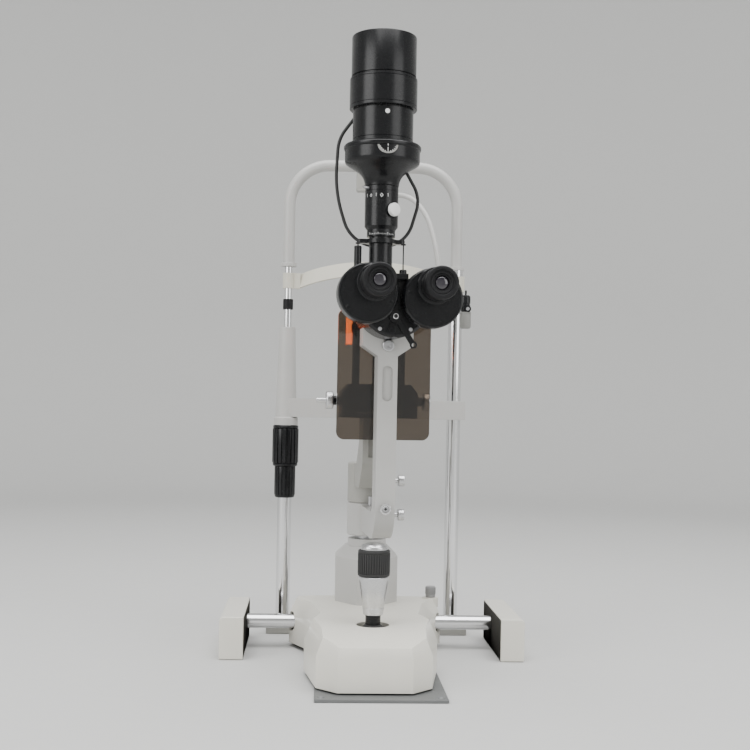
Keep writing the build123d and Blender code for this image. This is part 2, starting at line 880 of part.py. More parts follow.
def microscope_arm():
    """Lower arm: hub, reach, upright bar and the crescent that holds the microscope."""
    front = -microscope_bar_front
    back = front + microscope_bar_depth
    low = microscope_arm_bottom
    reach_top = low + microscope_arm_thickness
    outline = [
        (0.0, low),
        (front, low),
        (front, crescent_high_z),
        (back, crescent_high_z),
        (back, reach_top),
        (0.0, reach_top),
    ]
    half = microscope_bar_width / 2
    bar = side_prism(outline, -half, half)
    outer_bend = bar.edges().filter_by(Axis.X).filter_by(
        lambda edge: edge.center().Z < low + 1 and edge.center().Y < -100
    )
    bar = fillet(outer_bend, microscope_arm_outer_bend)
    inner_bend = bar.edges().filter_by(Axis.X).filter_by(
        lambda edge: abs(edge.center().Z - reach_top) < 1 and edge.center().Y < -50
    )
    bar = fillet(inner_bend, 12.0)
    wide = crescent_width / 2
    head = front_prism(
        [
            (-half, crescent_low_z),
            (-wide, crescent_low_z + 12.0),
            (-wide, crescent_high_z),
            (wide, crescent_high_z),
            (wide, crescent_low_z + 12.0),
            (half, crescent_low_z),
        ],
        front,
        back,
    )
    body = bar + head + arm_hub(spindle_seat_z + face_gap, lower_hub_top_z)
    body -= lengthways(microscope_body_radius, -200, -100, 0, optical_height)
    body -= vertical(spindle_top_radius + running_clearance, 100, 300)
    body -= across(lock_screw_radius + running_clearance, 11.0, 40.0, 0, 169.0)
    groove = Pos(0, front, 332.0) * Rot(90, 0, 0) * SlotOverall(40.0, 12.0, rotation=90)
    body -= extrude(groove, amount=3.0, both=True)
    return on_arm(body)


def lamp_arm():
    """Upper arm: hub and rising web that carries the tower's foot."""
    front = -lamp_arm_front
    outline = [
        (0.0, lamp_arm_bottom),
        (front + 30.0, lamp_arm_bottom),
        (front, lamp_arm_bottom + 30.0),
        (front, foot_low_z),
        (front + 36.0, foot_low_z),
        (front + 36.0, foot_low_z - 30.0),
        (front + 58.0, upper_hub_top_z),
        (0.0, upper_hub_top_z),
    ]
    half = lamp_arm_width / 2
    web = side_prism(outline, -half, half)
    web -= brick(-12.5, 12.5, front - 1, front + 4.0, lamp_arm_bottom + 38.0, foot_low_z - 7.0)
    body = web + arm_hub(lower_hub_top_z + face_gap, upper_hub_top_z)
    body -= vertical(spindle_top_radius + running_clearance, 100, 300)
    body -= across(lock_screw_radius + running_clearance, 11.0, 40.0, 0, 212.0)
    return on_arm(body)


def hub_lock_knob(height):
    """Clamp knob on the right side of a hub."""
    start = lock_knob_start
    knob = across(lock_knob_radius, start, start + lock_knob_length, 0, height)
    knob = chamfer(knob.edges().filter_by(GeomType.CIRCLE), 0.8)
    knob += across(lock_screw_radius, 11.5, start + 1, 0, height)
    return on_arm(knob)


def click_stop_pin():
    """Straight-ahead click pin standing on the lower arm."""
    pin = vertical(3.5, microscope_arm_bottom + microscope_arm_thickness, 195.0, 0, -30.5)
    pin = chamfer(pin.edges().filter_by(GeomType.CIRCLE).group_by(Axis.Z)[-1], 0.8)
    return on_arm(pin)


# Microscope


def microscope_body():
    """Round optical housing with the block between the two prism drums."""
    front = -microscope_body_front
    back = -(microscope_bar_front - microscope_bar_depth)
    body = lengthways(microscope_body_radius, front, back, 0, optical_height)
    body = chamfer(body.edges().filter_by(GeomType.CIRCLE).group_by(Axis.Y)[0], 3.0)
    body += lengthways(objective_radius, back, -objective_end, 0, optical_height)
    body -= brick(-60, 60, -260, -100, microscope_body_top, 500)
    body += brick(-2.0, 11.5, -214.0, -130.0, 444.3, 450.5)
    ends = drum_spacing / 2 + 14.0
    body += brick(-ends, ends, front, front + 14, optical_height - 16, optical_height + 16)
    body -= lengthways(objective_lens_radius, -118.0, -objective_end + 1, 0, optical_height)
    body -= lengthways(head_screw_radius + 0.6, -210.0, -microscope_bar_front + 0.1, 0, head_screw_z)
    for side in (-1, 1):
        x, z = drum_centre(side)
        body -= lengthways(5.0 + running_clearance, front - 1, front + 9, x, z)
    body -= lengthways(3.0 + running_clearance, front - 1, front + 8, 0, lever_pivot_z)
    return on_arm(body)


def objective_lens():
    """Front lens facing the patient."""
    lens = lengthways(objective_lens_radius, -117.5, -objective_end - 1.5, 0, optical_height)
    return on_arm(lens)


def microscope_screws():
    """Head clamp screw and the small cover screws."""
    front = -microscope_bar_front
    head = lengthways(head_screw_radius, front - 4.0, front, 0, head_screw_z)
    head = chamfer(head.edges().filter_by(GeomType.CIRCLE).group_by(Axis.Y)[0], 1.0)
    head -= Pos(0, front - 4.0, head_screw_z) * Box(4.0, 4.0, 4.0)
    small = []
    for x in (-17.0, 17.0):
        small.append(lengthways(2.2, -microscope_body_front - 1.2, -microscope_body_front, x, 391.0))
    return [on_arm(item) for item in [head] + small]


def drum_centre(side):
    """Position of one drum's turning axis as (x, z)."""
    roll = math.radians(drum_roll)
    reach = side * drum_spacing / 2
    return drum_middle_x + reach * math.cos(roll), drum_middle_z - reach * math.sin(roll)


def eyepiece_centre(side):
    """Position of one eyepiece axis as (x, z)."""
    x, z = drum_centre(side)
    turn = math.radians(right_eyepiece_turn if side > 0 else left_eyepiece_turn)
    return x + eyepiece_offset * math.sin(turn), z + eyepiece_offset * math.cos(turn)


def prism_drum(side):
    """Rotating prism housing with the eyepiece tube set off its axis."""
    middle, height = drum_centre(side)
    x, z = eyepiece_centre(side)
    drum = lengthways(drum_radius, -drum_front, -drum_back, middle, height)
    drum = chamfer(drum.edges().filter_by(GeomType.CIRCLE), 1.5)
    drum += lengthways(5.0, -drum_back - 1, -drum_back + 8, middle, height)
    drum += lengthways(eyepiece_tube_radius, -eyepiece_step + face_gap, -drum_front + 1, x, z)
    drum -= lengthways(eyepiece_tube_bore, -eyepiece_step - 1, -drum_front + 10, x, z)
    return on_arm(drum)


def dioptre_ring(side):
    """Focusing ring with the eye cup."""
    x, z = eyepiece_centre(side)
    ring = lengthways(eyepiece_ring_radius, -eyepiece_ring_front, -eyepiece_ring_back, x, z)
    ring = chamfer(ring.edges().filter_by(GeomType.CIRCLE), 1.2)
    bore = eyepiece_tube_radius + running_clearance
    ring -= lengthways(bore, -eyepiece_step, -eyepiece_ring_back + 1, x, z)
    ring -= lengthways(11.0, -eyepiece_ring_front - 1, -eyepiece_step + 1, x, z)
    return on_arm(ring)


def eye_lens(side):
    """Eye lens held in the focusing ring."""
    x, z = eyepiece_centre(side)
    return on_arm(lengthways(11.0, -eyepiece_step - 3.5, -eyepiece_step - 0.5, x, z))


def magnification_lever():
    """Lever under the drums that turns the magnification changer."""
    back = -microscope_body_front - face_gap
    front = back - lever_thickness
    hub = lengthways(7.0, front, back, 0, 0)
    bar = brick(-3.0, 3.0, front, back, -lever_length, 0)
    tip = lengthways(4.0, front, back, 0, -lever_length)
    lever = hub + bar + tip - lengthways(2.0, front - 1, back + 1, 0, -lever_length)
    lever += lengthways(3.0, back - 1, back + 7, 0, 0)
    lever = Rot(0, -lever_lean, 0) * lever
    return on_arm(Pos(0, 0, lever_pivot_z) * lever)


def breath_shield():
    """Smoked plate behind the microscope arm, notched round the objective."""
    half = shield_width / 2
    front = -shield_back - shield_thickness
    plate = brick(-half, half, front, -shield_back, shield_low_z, shield_high_z)
    plate = fillet(plate.edges().filter_by(Axis.Y), shield_corner_radius)
    plate -= lengthways(objective_radius + hole_slack, front - 5, 0, 0, optical_height)
    return on_arm(plate)


# Illumination tower


def foot_block():
    """Black fork on the lamp arm in which the tower tilts."""
    half = foot_width / 2
    deep = foot_depth / 2
    shoulder = 10.0
    outline = [
        (-half, foot_low_z),
        (half, foot_low_z),
        (half, foot_high_z - shoulder),
        (half - shoulder * 0.8, foot_high_z),
        (-half + shoulder * 0.8, foot_high_z),
        (-half, foot_high_z - shoulder),
    ]
    block = front_prism(outline, -deep, deep)
    ear = foot_ear_inner
    block -= brick(-ear, ear, -deep - 1, deep + 1, foot_low_z + foot_floor, foot_high_z + 1)
    block -= across(trunnion_radius + running_clearance, -half - 1, half + 1, 0, tilt_axis_z)
    return on_tower(block)


def tower_base():
    """Tilting barrel that carries post and side rods."""
    half = foot_ear_inner - face_gap
    body = across(barrel_radius, -half, half, 0, tilt_axis_z)
    body += brick(-half, half, -11.0, 11.0, tilt_axis_z, foot_high_z)
    body -= across(trunnion_radius, -half - 1, -half + 6, 0, tilt_axis_z)
    body -= across(trunnion_radius, half - 6, half + 1, 0, tilt_axis_z)
    body -= across(width_shaft_radius + running_clearance, -half, half, 0, tilt_axis_z)
    return on_tower(body)


def tilt_trunnion(side):
    """Plated sleeve that the tower tilts on."""
    inner = foot_ear_inner - face_gap - 6.0
    sleeve = across(trunnion_radius, inner, trunnion_reach, 0, tilt_axis_z)
    sleeve -= across(width_shaft_radius + running_clearance, inner - 1, trunnion_reach + 1, 0, tilt_axis_z)
    return on_tower(sleeve if side > 0 else mirror(sleeve, Plane.YZ))


def slit_width_knobs():
    """Slit-width shaft with a knob at each end."""
    end = width_knob_inner + width_knob_length
    shaft = across(width_shaft_radius, -width_shaft_left, end, 0, tilt_axis_z)
    for side in (-1, 1):
        low = min(side * width_knob_inner, side * end)
        knob = across(width_knob_radius, low, low + width_knob_length, 0, tilt_axis_z)
        shaft += chamfer(knob.edges().filter_by(GeomType.CIRCLE), 1.0)
    return on_tower(shaft)


def tower_post():
    """Narrow post with the mirror housing and the upper light tube."""
    post = vertical(post_radius, foot_high_z, post_top_z)
    post += vertical(mirror_housing_radius, post_top_z, mirror_housing_top_z)
    post += vertical(column_radius, mirror_housing_top_z, column_top_z)
    post -= vertical(beam_bore_radius, 418.0, column_top_z + 1)
    post -= brick(-beam_bore_radius, beam_bore_radius, 0, 20, 416.0, 440.0)
    return on_tower(post)


def tower_mirror():
    """Slanted mirror that sends the beam to the patient."""
    wedge = side_prism([(-7.0, 440.0), (-7.0, 418.0), (7.0, 418.0)], -3.6, 3.6)
    return on_tower(wedge)


def side_rod(side):
    """Hollow side rod with the push rod's way in its top."""
    top = right_rod_top_z if side > 0 else left_rod_top_z
    x = side * side_rod_spacing / 2
    rod = vertical(side_rod_radius, foot_high_z, top, x, 0)
    rod = chamfer(rod.edges().filter_by(GeomType.CIRCLE).group_by(Axis.Z)[-1], 0.8)
    rod -= vertical(push_rod_radius + 0.1, top - 30, top + 1, x, 0)
    return on_tower(rod)


def slit_crossbar():
    """Sliding collar with rounded ends and its two push rods."""
    reach = crossbar_half_length
    low = crossbar_low_z
    high = low + crossbar_thickness
    bar = brick(-reach + 5, reach - 5, -5.0, 5.0, low, high)
    bar += vertical(5.0, low, high, -reach + 5, 0) + vertical(5.0, low, high, reach - 5, 0)
    bar += vertical(column_radius + 4.0, low, high)
    bar -= vertical(column_radius + face_gap, low - 1, high + 1)
    for side in (-1, 1):
        top = right_rod_top_z if side > 0 else left_rod_top_z
        bar += vertical(push_rod_radius, top - 20, low + 1, side * side_rod_spacing / 2, 0)
        bar += vertical(3.0, low - 0.8, low + 1, side * side_rod_spacing / 2, 0)
    return on_tower(bar)


def cable_clip():
    """Clip on the back of the column that holds the lamp lead."""
    y = cable_behind
    clip = across(4.0, -3.0, 3.0, y, 500.0) + brick(-3.0, 3.0, 11.0, y - 2.5, 493.0, 499.0)
    clip += brick(-3.0, 3.0, 11.0, y - 2.5, 488.0, 497.0)
    clip -= across(cable_radius + 0.1, -10.0, 10.0, y, 500.0)
    clip -= vertical(column_radius, 400.0, 600.0)
    clip -= vertical(column_radius + 5.0, crossbar_low_z - 1.3, 560.0)
    return on_tower(clip)


def slit_head():
    """Housing of the slit and the projection lens."""
    head = turned(
        [
            (0, slit_head_low_z),
            (slit_head_neck_radius, slit_head_low_z),
            (slit_head_neck_radius, slit_head_body_z),
            (slit_head_radius, slit_head_body_z + 4.0),
            (slit_head_radius, slit_head_top_z),
            (0, slit_head_top_z),
        ]
    )
    head -= vertical(column_radius, slit_head_low_z - 1, column_top_z)
    head -= vertical(10.0, column_top_z - 1, slit_head_top_z + 1)
    boss = lengthways(5.0, -slit_head_radius - 2.0, -14.0, 0, slit_knob_z)
    way = lengthways(2.0 + running_clearance, -slit_head_radius - 3.0, -9.0, 0, slit_knob_z)
    head += Rot(0, 0, slit_knob_turn) * boss
    head -= Rot(0, 0, slit_knob_turn) * way
    return on_tower(head)


def slit_blade(side):
    """Half disc of the adjustable slit."""
    blade = vertical(10.0, 545.0, 546.0)
    blade -= brick(-20, 0.6, -20, 20, 540, 550)
    return on_tower(blade if side > 0 else mirror(blade, Plane.YZ))


def slit_length_knob():
    """Light-coloured knob for the slit's length."""
    start = -slit_head_radius - 2.0 - face_gap
    knob = lengthways(slit_knob_radius, start - 5.0, start, 0, slit_knob_z)
    knob = fillet(knob.edges().filter_by(GeomType.CIRCLE).group_by(Axis.Y)[0], 1.2)
    knob += lengthways(2.0, start - 1, -11.0, 0, slit_knob_z)
    return on_tower(Rot(0, 0, slit_knob_turn) * knob)


def filter_turret():
    """Turning filter ring with its lever pin."""
    low = slit_head_top_z + face_gap
    high = filter_ring_top_z - face_gap
    ring = vertical(filter_ring_radius, low, high) - vertical(10.0, low - 1, high + 1)
    pin = lengthways(1.3, -27.0, -15.0, 0, (low + high) / 2)
    return on_tower(ring + Rot(0, 0, -60) * pin)


def lamp_bell():
    """Bell between filter ring and lamp tube, with the scale window."""
    outer = [
        (10.0, filter_ring_top_z),
        (slit_head_radius, filter_ring_top_z),
        (slit_head_radius, bell_neck_top_z),
        (bell_radius, bell_low_z),
        (bell_radius, bell_flange_low_z),
        (bell_flange_radius, bell_flange_low_z),
        (bell_flange_radius, bell_top_z),
        (bell_radius - lamp_wall, bell_top_z),
        (bell_radius - lamp_wall, bell_low_z + 1.5),
        (slit_head_radius - 2.0, bell_neck_top_z + 1.5),
        (10.0, bell_neck_top_z - 2.0),
    ]
    return on_tower(turned(outer)) - lamp_cable()


def lamp_housing():
    """Lamp tube, grip ring and vented cap in one black shell."""
    wall = lamp_wall
    outer = [
        (0, bell_top_z),
        (bell_flange_radius - 1.0, bell_top_z),
        (bell_flange_radius - 1.0, bell_top_z + 0.5),
        (lamp_tube_radius, bell_top_z + 1.5),
        (lamp_tube_radius, lamp_tube_top_z),
        (lamp_ring_radius, lamp_tube_top_z),
        (lamp_ring_radius, lamp_ring_top_z),
        (lamp_cap_radius, lamp_ring_top_z),
        (lamp_cap_radius, lamp_cap_top_z - 4.0),
        (lamp_cap_radius - 4.0, lamp_cap_top_z),
        (0, lamp_cap_top_z),
    ]
    shell = turned(outer)
    shell -= vertical(lamp_tube_radius - wall, bell_top_z - 1, lamp_ring_top_z + 1)
    shell -= vertical(lamp_cap_radius - wall, lamp_tube_top_z + wall, lamp_cap_top_z - wall)
    for number in range(8):
        turn = 22.5 + 45.0 * number
        slot = Pos(22.0, 0, lamp_cap_top_z) * Box(14.0, 3.0, 20.0)
        shell -= Rot(0, 0, turn) * slot
    return on_tower(shell) - lamp_cable()


def lamp_bulb():
    """Halogen bulb capsule."""
    bulb = vertical(6.0, 652.0, 678.0)
    return on_tower(fillet(bulb.edges().filter_by(GeomType.CIRCLE).group_by(Axis.Z)[0], 5.0))


def lamp_socket():
    """Bulb holder hanging from the cap."""
    holder = vertical(13.0, 678.0, lamp_cap_top_z - lamp_wall)
    holder -= vertical(9.0, 700.0, lamp_cap_top_z + 1)
    return on_tower(holder)


def condenser_lens():
    """Condenser lens above the bell's neck."""
    lens = vertical(bell_radius - lamp_wall, 606.0, 609.0)
    dome = Pos(0, 0, 585.0) * Sphere(34.0)
    dome &= vertical(24.0, 609.0, 620.0)
    return on_tower(lens + dome)


def amber_filter():
    """Amber glass flap parked beside the post on the left side rod."""
    x = -side_rod_spacing / 2
    middle = (flap_low_z + flap_high_z) / 2
    collar = vertical(flap_collar_radius, middle - 5, middle + 5, x, 0)
    half = flap_thickness / 2
    collar += brick(x - flap_outer_reach + 6.5, x, -half, half, middle - 4, middle + 4)
    collar -= vertical(side_rod_radius + running_clearance, middle - 6, middle + 6, x, 0)
    return on_tower(collar)


def amber_glass():
    """Amber pane of the flap."""
    x = -side_rod_spacing / 2
    half = flap_thickness / 2
    pane = brick(x - flap_outer_reach - 0.5, x - 5.0, -half, half, flap_low_z, flap_high_z)
    return on_tower(pane) - amber_filter()


save("friction_plate", friction_plate())
save("rail_beds", *both_sides(rail_bed))
save("gear_racks", *both_sides(gear_rack))
save("rail_covers", *both_sides(rail_cover))
save("headrest_beam", headrest_beam())
save("headrest_poles", *both_sides(headrest_pole))
save("forehead_frame", forehead_frame(), *both_sides(pole_joiner))
save("fixation_bracket", fixation_bracket())
save("canthus_marker", canthus_marker())
save("forehead_belt", forehead_belt())
save("chinrest_bracket", chinrest_bracket())
save("chin_cup", chin_cup())
save("height_knob", height_knob())
save("fixation_arm", fixation_arm())
save("fixation_lamp", fixation_lamp())
save("axle_guides", *both_sides(axle_guide))
save("axle_shaft", axle_shaft())
save("axle_wheels", *both_sides(axle_wheel))
save("axle_pinions", *both_sides(axle_pinion))
save("base_cover", base_cover())
save("base_chassis", base_chassis(), glide_pad())
save("linear_bearings", *both_sides(linear_bearing))
save("spindle_housing", spindle_housing())
save("base_lock_knob", base_lock_knob())
save("joystick_gimbal", joystick_gimbal())
save("joystick_stem", joystick_stem())
save("joystick_cone", joystick_cone())
save("joystick_grip", joystick_grip())
save("joystick_cap", joystick_cap())
save("spindle_shaft", spindle_shaft())
save("microscope_arm", microscope_arm())
save("microscope_lock_knob", hub_lock_knob(169.0))
save("microscope_body", microscope_body())
save("objective_lens", objective_lens())
save("microscope_screws", *microscope_screws(), click_stop_pin())
save("left_prism_drum", prism_drum(-1))
save("right_prism_drum", prism_drum(1))
save("left_dioptre_ring", dioptre_ring(-1))
save("right_dioptre_ring", dioptre_ring(1))
save("left_eye_lens", eye_lens(-1))
save("right_eye_lens", eye_lens(1))
save("magnification_lever", magnification_lever())
save("breath_shield", breath_shield())
save("lamp_arm", lamp_arm())
save("lamp_arm_lock_knob", hub_lock_knob(212.0))
save("foot_block", foot_block())
save("tower_base", tower_base(), *both_sides(tilt_trunnion))
save("slit_width_knobs", slit_width_knobs())
save("tower_post", tower_post())
save("tower_mirror", tower_mirror())
save("side_rods", *both_sides(side_rod), cable_clip())
save("slit_crossbar", slit_crossbar())
save("slit_head", slit_head(), *both_sides(slit_blade))
save("slit_length_knob", slit_length_knob())
save("filter_turret", filter_turret())
save("lamp_bell", lamp_bell())
save("lamp_housing", lamp_housing())
save("lamp_bulb", lamp_bulb(), lamp_socket(), condenser_lens())
save("lamp_cable", lamp_cable())
save("amber_filter", amber_filter(), amber_glass())
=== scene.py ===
"""Blender look of the slit lamp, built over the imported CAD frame.

Every sub-assembly is a class that reads its places from the frame's joints and boxes, models its
pieces in its own local axes, and hands them to the frame with their finishes.
"""

from __future__ import annotations

import json
import logging
import math
from dataclasses import dataclass, field
from enum import Enum

import bmesh
import bpy
from mathutils import Matrix, Vector

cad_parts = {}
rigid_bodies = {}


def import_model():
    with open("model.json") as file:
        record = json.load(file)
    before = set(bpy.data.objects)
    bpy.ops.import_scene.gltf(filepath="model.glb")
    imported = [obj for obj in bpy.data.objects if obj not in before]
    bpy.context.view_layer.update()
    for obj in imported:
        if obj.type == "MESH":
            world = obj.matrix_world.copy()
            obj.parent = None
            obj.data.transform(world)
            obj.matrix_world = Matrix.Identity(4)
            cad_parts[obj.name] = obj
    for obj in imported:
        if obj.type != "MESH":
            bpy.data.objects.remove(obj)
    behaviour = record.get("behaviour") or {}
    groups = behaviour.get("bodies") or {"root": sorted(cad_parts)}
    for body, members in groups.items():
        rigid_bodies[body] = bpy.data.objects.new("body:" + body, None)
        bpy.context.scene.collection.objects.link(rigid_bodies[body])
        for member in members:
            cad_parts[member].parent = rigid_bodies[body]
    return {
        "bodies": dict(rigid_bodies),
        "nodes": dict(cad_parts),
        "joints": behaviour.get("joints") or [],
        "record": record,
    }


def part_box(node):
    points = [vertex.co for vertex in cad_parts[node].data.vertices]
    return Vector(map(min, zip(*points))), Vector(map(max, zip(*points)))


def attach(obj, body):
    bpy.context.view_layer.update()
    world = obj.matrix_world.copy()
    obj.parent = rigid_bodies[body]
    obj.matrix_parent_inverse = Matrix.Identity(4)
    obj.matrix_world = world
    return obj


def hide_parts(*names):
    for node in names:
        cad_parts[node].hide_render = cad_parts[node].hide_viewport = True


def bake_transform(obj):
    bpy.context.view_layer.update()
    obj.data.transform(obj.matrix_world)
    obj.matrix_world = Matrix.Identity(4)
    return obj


LOG = logging.getLogger("slit_lamp")
MM = 0.001
RIB_FLANK = 0.12
LEFT_SCREW_TURNS = (96.0, 217.0, 338.0)
RIGHT_SCREW_TURNS = (50.0, 170.0, 290.0)
Point2 = tuple[float, float]
Profile = list[Point2]


class Texture(Enum):
    """Kinds of surface pattern a finish can have."""

    GRAIN = "grain"
    BRUSHED = "brushed"
    CLEAR = "clear"


class Slot(Enum):
    """Material slots of the record, named by what they are."""

    COVER = "cream_cover"
    GREY = "grey_paint"
    LIGHT = "light_grey_paint"
    BLACK = "black_paint"
    PLATE = "plate_grey"
    CHROME = "polished_steel"
    STEEL = "steel"
    ALUMINIUM = "aluminium"
    RUBBER = "black_rubber"
    PLASTIC = "black_plastic"
    KNOB = "grey_plastic"
    WHITE = "white_plastic"
    BELT = "belt"
    LENS = "lens_glass"
    SMOKED = "smoked_glass"
    AMBER_PAINTED_GLOW = "amber_glass"
    MIRROR = "mirror"


@dataclass(frozen=True)
class Finish:
    """One procedural surface finish.

    Colours are linear RGB. Noise sizes are in features per metre of the object's own coordinates.
    """

    name: str
    colour: tuple[float, float, float]
    second: tuple[float, float, float]
    roughness: float
    metallic: float = 0.0
    texture: Texture = Texture.GRAIN
    scale: float = 900.0
    bump: float = 0.05
    coat: float = 0.0
    transmission: float = 0.0
    emission: float = 0.0
    specular: float = 0.5

    def build(self) -> bpy.types.Material:
        """Make the node material.

        Returns:
            The new material.
        """
        material = bpy.data.materials.new(self.name)
        material.use_nodes = True
        tree = material.node_tree
        nodes, links = tree.nodes, tree.links
        shader = nodes["Principled BSDF"]
        shader.inputs["Metallic"].default_value = self.metallic
        shader.inputs["Specular IOR Level"].default_value = self.specular
        shader.inputs["Coat Weight"].default_value = self.coat
        shader.inputs["Coat Roughness"].default_value = 0.12
        shader.inputs["Transmission Weight"].default_value = self.transmission
        coordinates = nodes.new("ShaderNodeTexCoord")
        mapping = nodes.new("ShaderNodeMapping")
        links.new(coordinates.outputs["Object"], mapping.inputs["Vector"])
        if self.texture is Texture.BRUSHED:
            mapping.inputs["Scale"].default_value = (1.0, 1.0, 9.0)
        broad = nodes.new("ShaderNodeTexNoise")
        broad.inputs["Scale"].default_value = self.scale * 0.03
        broad.inputs["Detail"].default_value = 3.0
        fine = nodes.new("ShaderNodeTexNoise")
        fine.inputs["Scale"].default_value = self.scale
        fine.inputs["Detail"].default_value = 2.0
        for noise in (broad, fine):
            links.new(mapping.outputs["Vector"], noise.inputs["Vector"])
        mix = nodes.new("ShaderNodeMix")
        mix.data_type = "RGBA"
        mix.inputs["A"].default_value = (*self.colour, 1.0)
        mix.inputs["B"].default_value = (*self.second, 1.0)
        links.new(broad.outputs["Fac"], mix.inputs["Factor"])
        links.new(mix.outputs["Result"], shader.inputs["Base Color"])
        rough = nodes.new("ShaderNodeMapRange")
        rough.inputs["To Min"].default_value = self.roughness * 0.8
        rough.inputs["To Max"].default_value = min(1.0, self.roughness * 1.2)
        links.new(fine.outputs["Fac"], rough.inputs["Value"])
        links.new(rough.outputs["Result"], shader.inputs["Roughness"])
        if self.bump > 0.0:
            bump = nodes.new("ShaderNodeBump")
            bump.inputs["Strength"].default_value = self.bump
            bump.inputs["Distance"].default_value = 0.0004
            links.new(fine.outputs["Fac"], bump.inputs["Height"])
            links.new(bump.outputs["Normal"], shader.inputs["Normal"])
        if self.emission > 0.0:
            links.new(mix.outputs["Result"], shader.inputs["Emission Color"])
            shader.inputs["Emission Strength"].default_value = self.emission
        return material


CREAM = Finish("cream moulding", (0.72, 0.70, 0.63), (0.68, 0.66, 0.59), 0.38, bump=0.06, coat=0.15)
WARM_GREY = Finish("warm grey paint", (0.34, 0.335, 0.31), (0.31, 0.305, 0.28), 0.42, bump=0.08, coat=0.1)
PALE_GREY = Finish("pale grey paint", (0.46, 0.455, 0.44), (0.42, 0.415, 0.40), 0.4, bump=0.08, coat=0.1)
MID_GREY = Finish("mid grey paint", (0.25, 0.25, 0.235), (0.22, 0.22, 0.205), 0.42, bump=0.08)
BLACK = Finish("satin black", (0.0035, 0.0038, 0.0045), (0.006, 0.0062, 0.007), 0.26, bump=0.04,
               specular=0.32)
BLACK_MATT = Finish("matt black", (0.005, 0.005, 0.006), (0.009, 0.009, 0.0095), 0.5, bump=0.12,
                    specular=0.25)
PLATE = Finish("plate grey", (0.14, 0.145, 0.145), (0.17, 0.175, 0.175), 0.5, 0.3, bump=0.1)
CHROME = Finish("chrome", (0.78, 0.78, 0.78), (0.72, 0.72, 0.73), 0.12, 1.0, scale=500.0, bump=0.0)
STEEL = Finish("steel", (0.52, 0.52, 0.53), (0.45, 0.45, 0.46), 0.3, 1.0, Texture.BRUSHED, 700.0, 0.05)
ALUMINIUM = Finish("turned aluminium", (0.62, 0.62, 0.62), (0.56, 0.56, 0.57), 0.28, 1.0,
                   Texture.BRUSHED, 900.0, 0.04)
RUBBER = Finish("black rubber", (0.014, 0.014, 0.014), (0.022, 0.022, 0.022), 0.62, bump=0.25)
KNOB_GREY = Finish("grey knob", (0.27, 0.27, 0.27), (0.23, 0.23, 0.23), 0.45, bump=0.1)
WHITE = Finish("white plastic", (0.78, 0.78, 0.77), (0.72, 0.72, 0.71), 0.3, bump=0.04, coat=0.2)
MARKING = Finish("white marking", (0.7, 0.7, 0.69), (0.6, 0.6, 0.6), 0.5, bump=0.0)
BAND = Finish("head band", (0.60, 0.58, 0.50), (0.55, 0.53, 0.45), 0.6, scale=1400.0, bump=0.15)
LENS = Finish("coated lens", (0.55, 0.62, 0.66), (0.48, 0.5, 0.62), 0.03, texture=Texture.CLEAR,
              bump=0.0, coat=1.0, transmission=0.9)
# Opaque near-black eye lens: the dark colour is painted shade for the tube interior seen through the glass,
# and the coat gives the real glints.
EYE_LENS_PAINTED_SHADE = Finish("eye lens, painted shade", (0.012, 0.010, 0.016), (0.016, 0.012, 0.02), 0.04,
                   texture=Texture.CLEAR, bump=0.0, coat=1.0)
SMOKED = Finish("smoked acrylic", (0.125, 0.095, 0.07), (0.115, 0.088, 0.065), 0.03, texture=Texture.CLEAR,
                scale=60.0, bump=0.0, coat=0.3, transmission=0.97)
# Amber glass that emits light: a painted glow standing in for a warm reflection, since the flap is no lamp.
AMBER_PAINTED_GLOW = Finish("amber glass, painted glow", (1.0, 0.34, 0.12), (0.95, 0.28, 0.09), 0.15, texture=Texture.CLEAR,
               scale=200.0, bump=0.0, transmission=0.2, emission=5.0)
MIRROR = Finish("mirror", (0.85, 0.85, 0.85), (0.8, 0.8, 0.8), 0.03, 1.0, bump=0.0)
RACK = Finish("rack nylon", (0.62, 0.6, 0.54), (0.55, 0.53, 0.47), 0.5, bump=0.1)
# Near-black finish used in vents, slots and recesses: painted shade where only shade falls.
PAINTED_SHADE_DARK = Finish("painted shade of openings", (0.02, 0.02, 0.02), (0.03, 0.03, 0.03), 0.7, bump=0.1)


class Paintbox:
    """Builds each finish once and hands out its material."""

    def __init__(self) -> None:
        """Start with no materials."""
        self._made: dict[str, bpy.types.Material] = {}

    def material(self, finish: Finish) -> bpy.types.Material:
        """Material of a finish.

        Args:
            finish: The finish wanted.

        Returns:
            Its material, made on first use.
        """
        if finish.name not in self._made:
            self._made[finish.name] = finish.build()
        return self._made[finish.name]


PAINT = Paintbox()


# Outline helpers


def grow(outline: list[Point2], amount: float) -> list[Point2]:
    """Move a closed outline out along its corner normals.

    Args:
        outline: Corners in anticlockwise order.
        amount: Distance outwards; negative moves in.

    Returns:
        The moved outline.
    """
    result = []
    count = len(outline)
    for index, here in enumerate(outline):
        before, after = Vector(outline[index - 1]), Vector(outline[(index + 1) % count])
        first = (Vector(here) - before).normalized()
        second = (after - Vector(here)).normalized()
        normal = Vector((first.y + second.y, -first.x - second.x))
        if normal.length < 1e-9:
            normal = Vector((first.y, -first.x))
        normal.normalize()
        spread = max(0.5, normal.dot(Vector((first.y, -first.x))))
        result.append((here[0] + normal.x * amount / spread, here[1] + normal.y * amount / spread))
    return result


def ribs(radius: float, depth: float, count: int, fill: float = 0.55) -> list[Point2]:
    """Outline of a ribbed round, such as a knob or a grip.

    Args:
        radius: Outer radius.
        depth: Groove depth.
        count: Number of ribs.
        fill: Share of each pitch taken by the rib.

    Returns:
        The outline in anticlockwise order.
    """
    points = []
    pitch = 2 * math.pi / count
    for number in range(count):
        start = number * pitch
        low = radius - depth
        for share, reach in ((0.0, radius), (fill, radius), (fill + RIB_FLANK, low), (1.0 - RIB_FLANK, low)):
            turn = start + share * pitch
            points.append((reach * math.cos(turn), reach * math.sin(turn)))
    return points


# Solid helpers: each returns a bmesh in millimetres


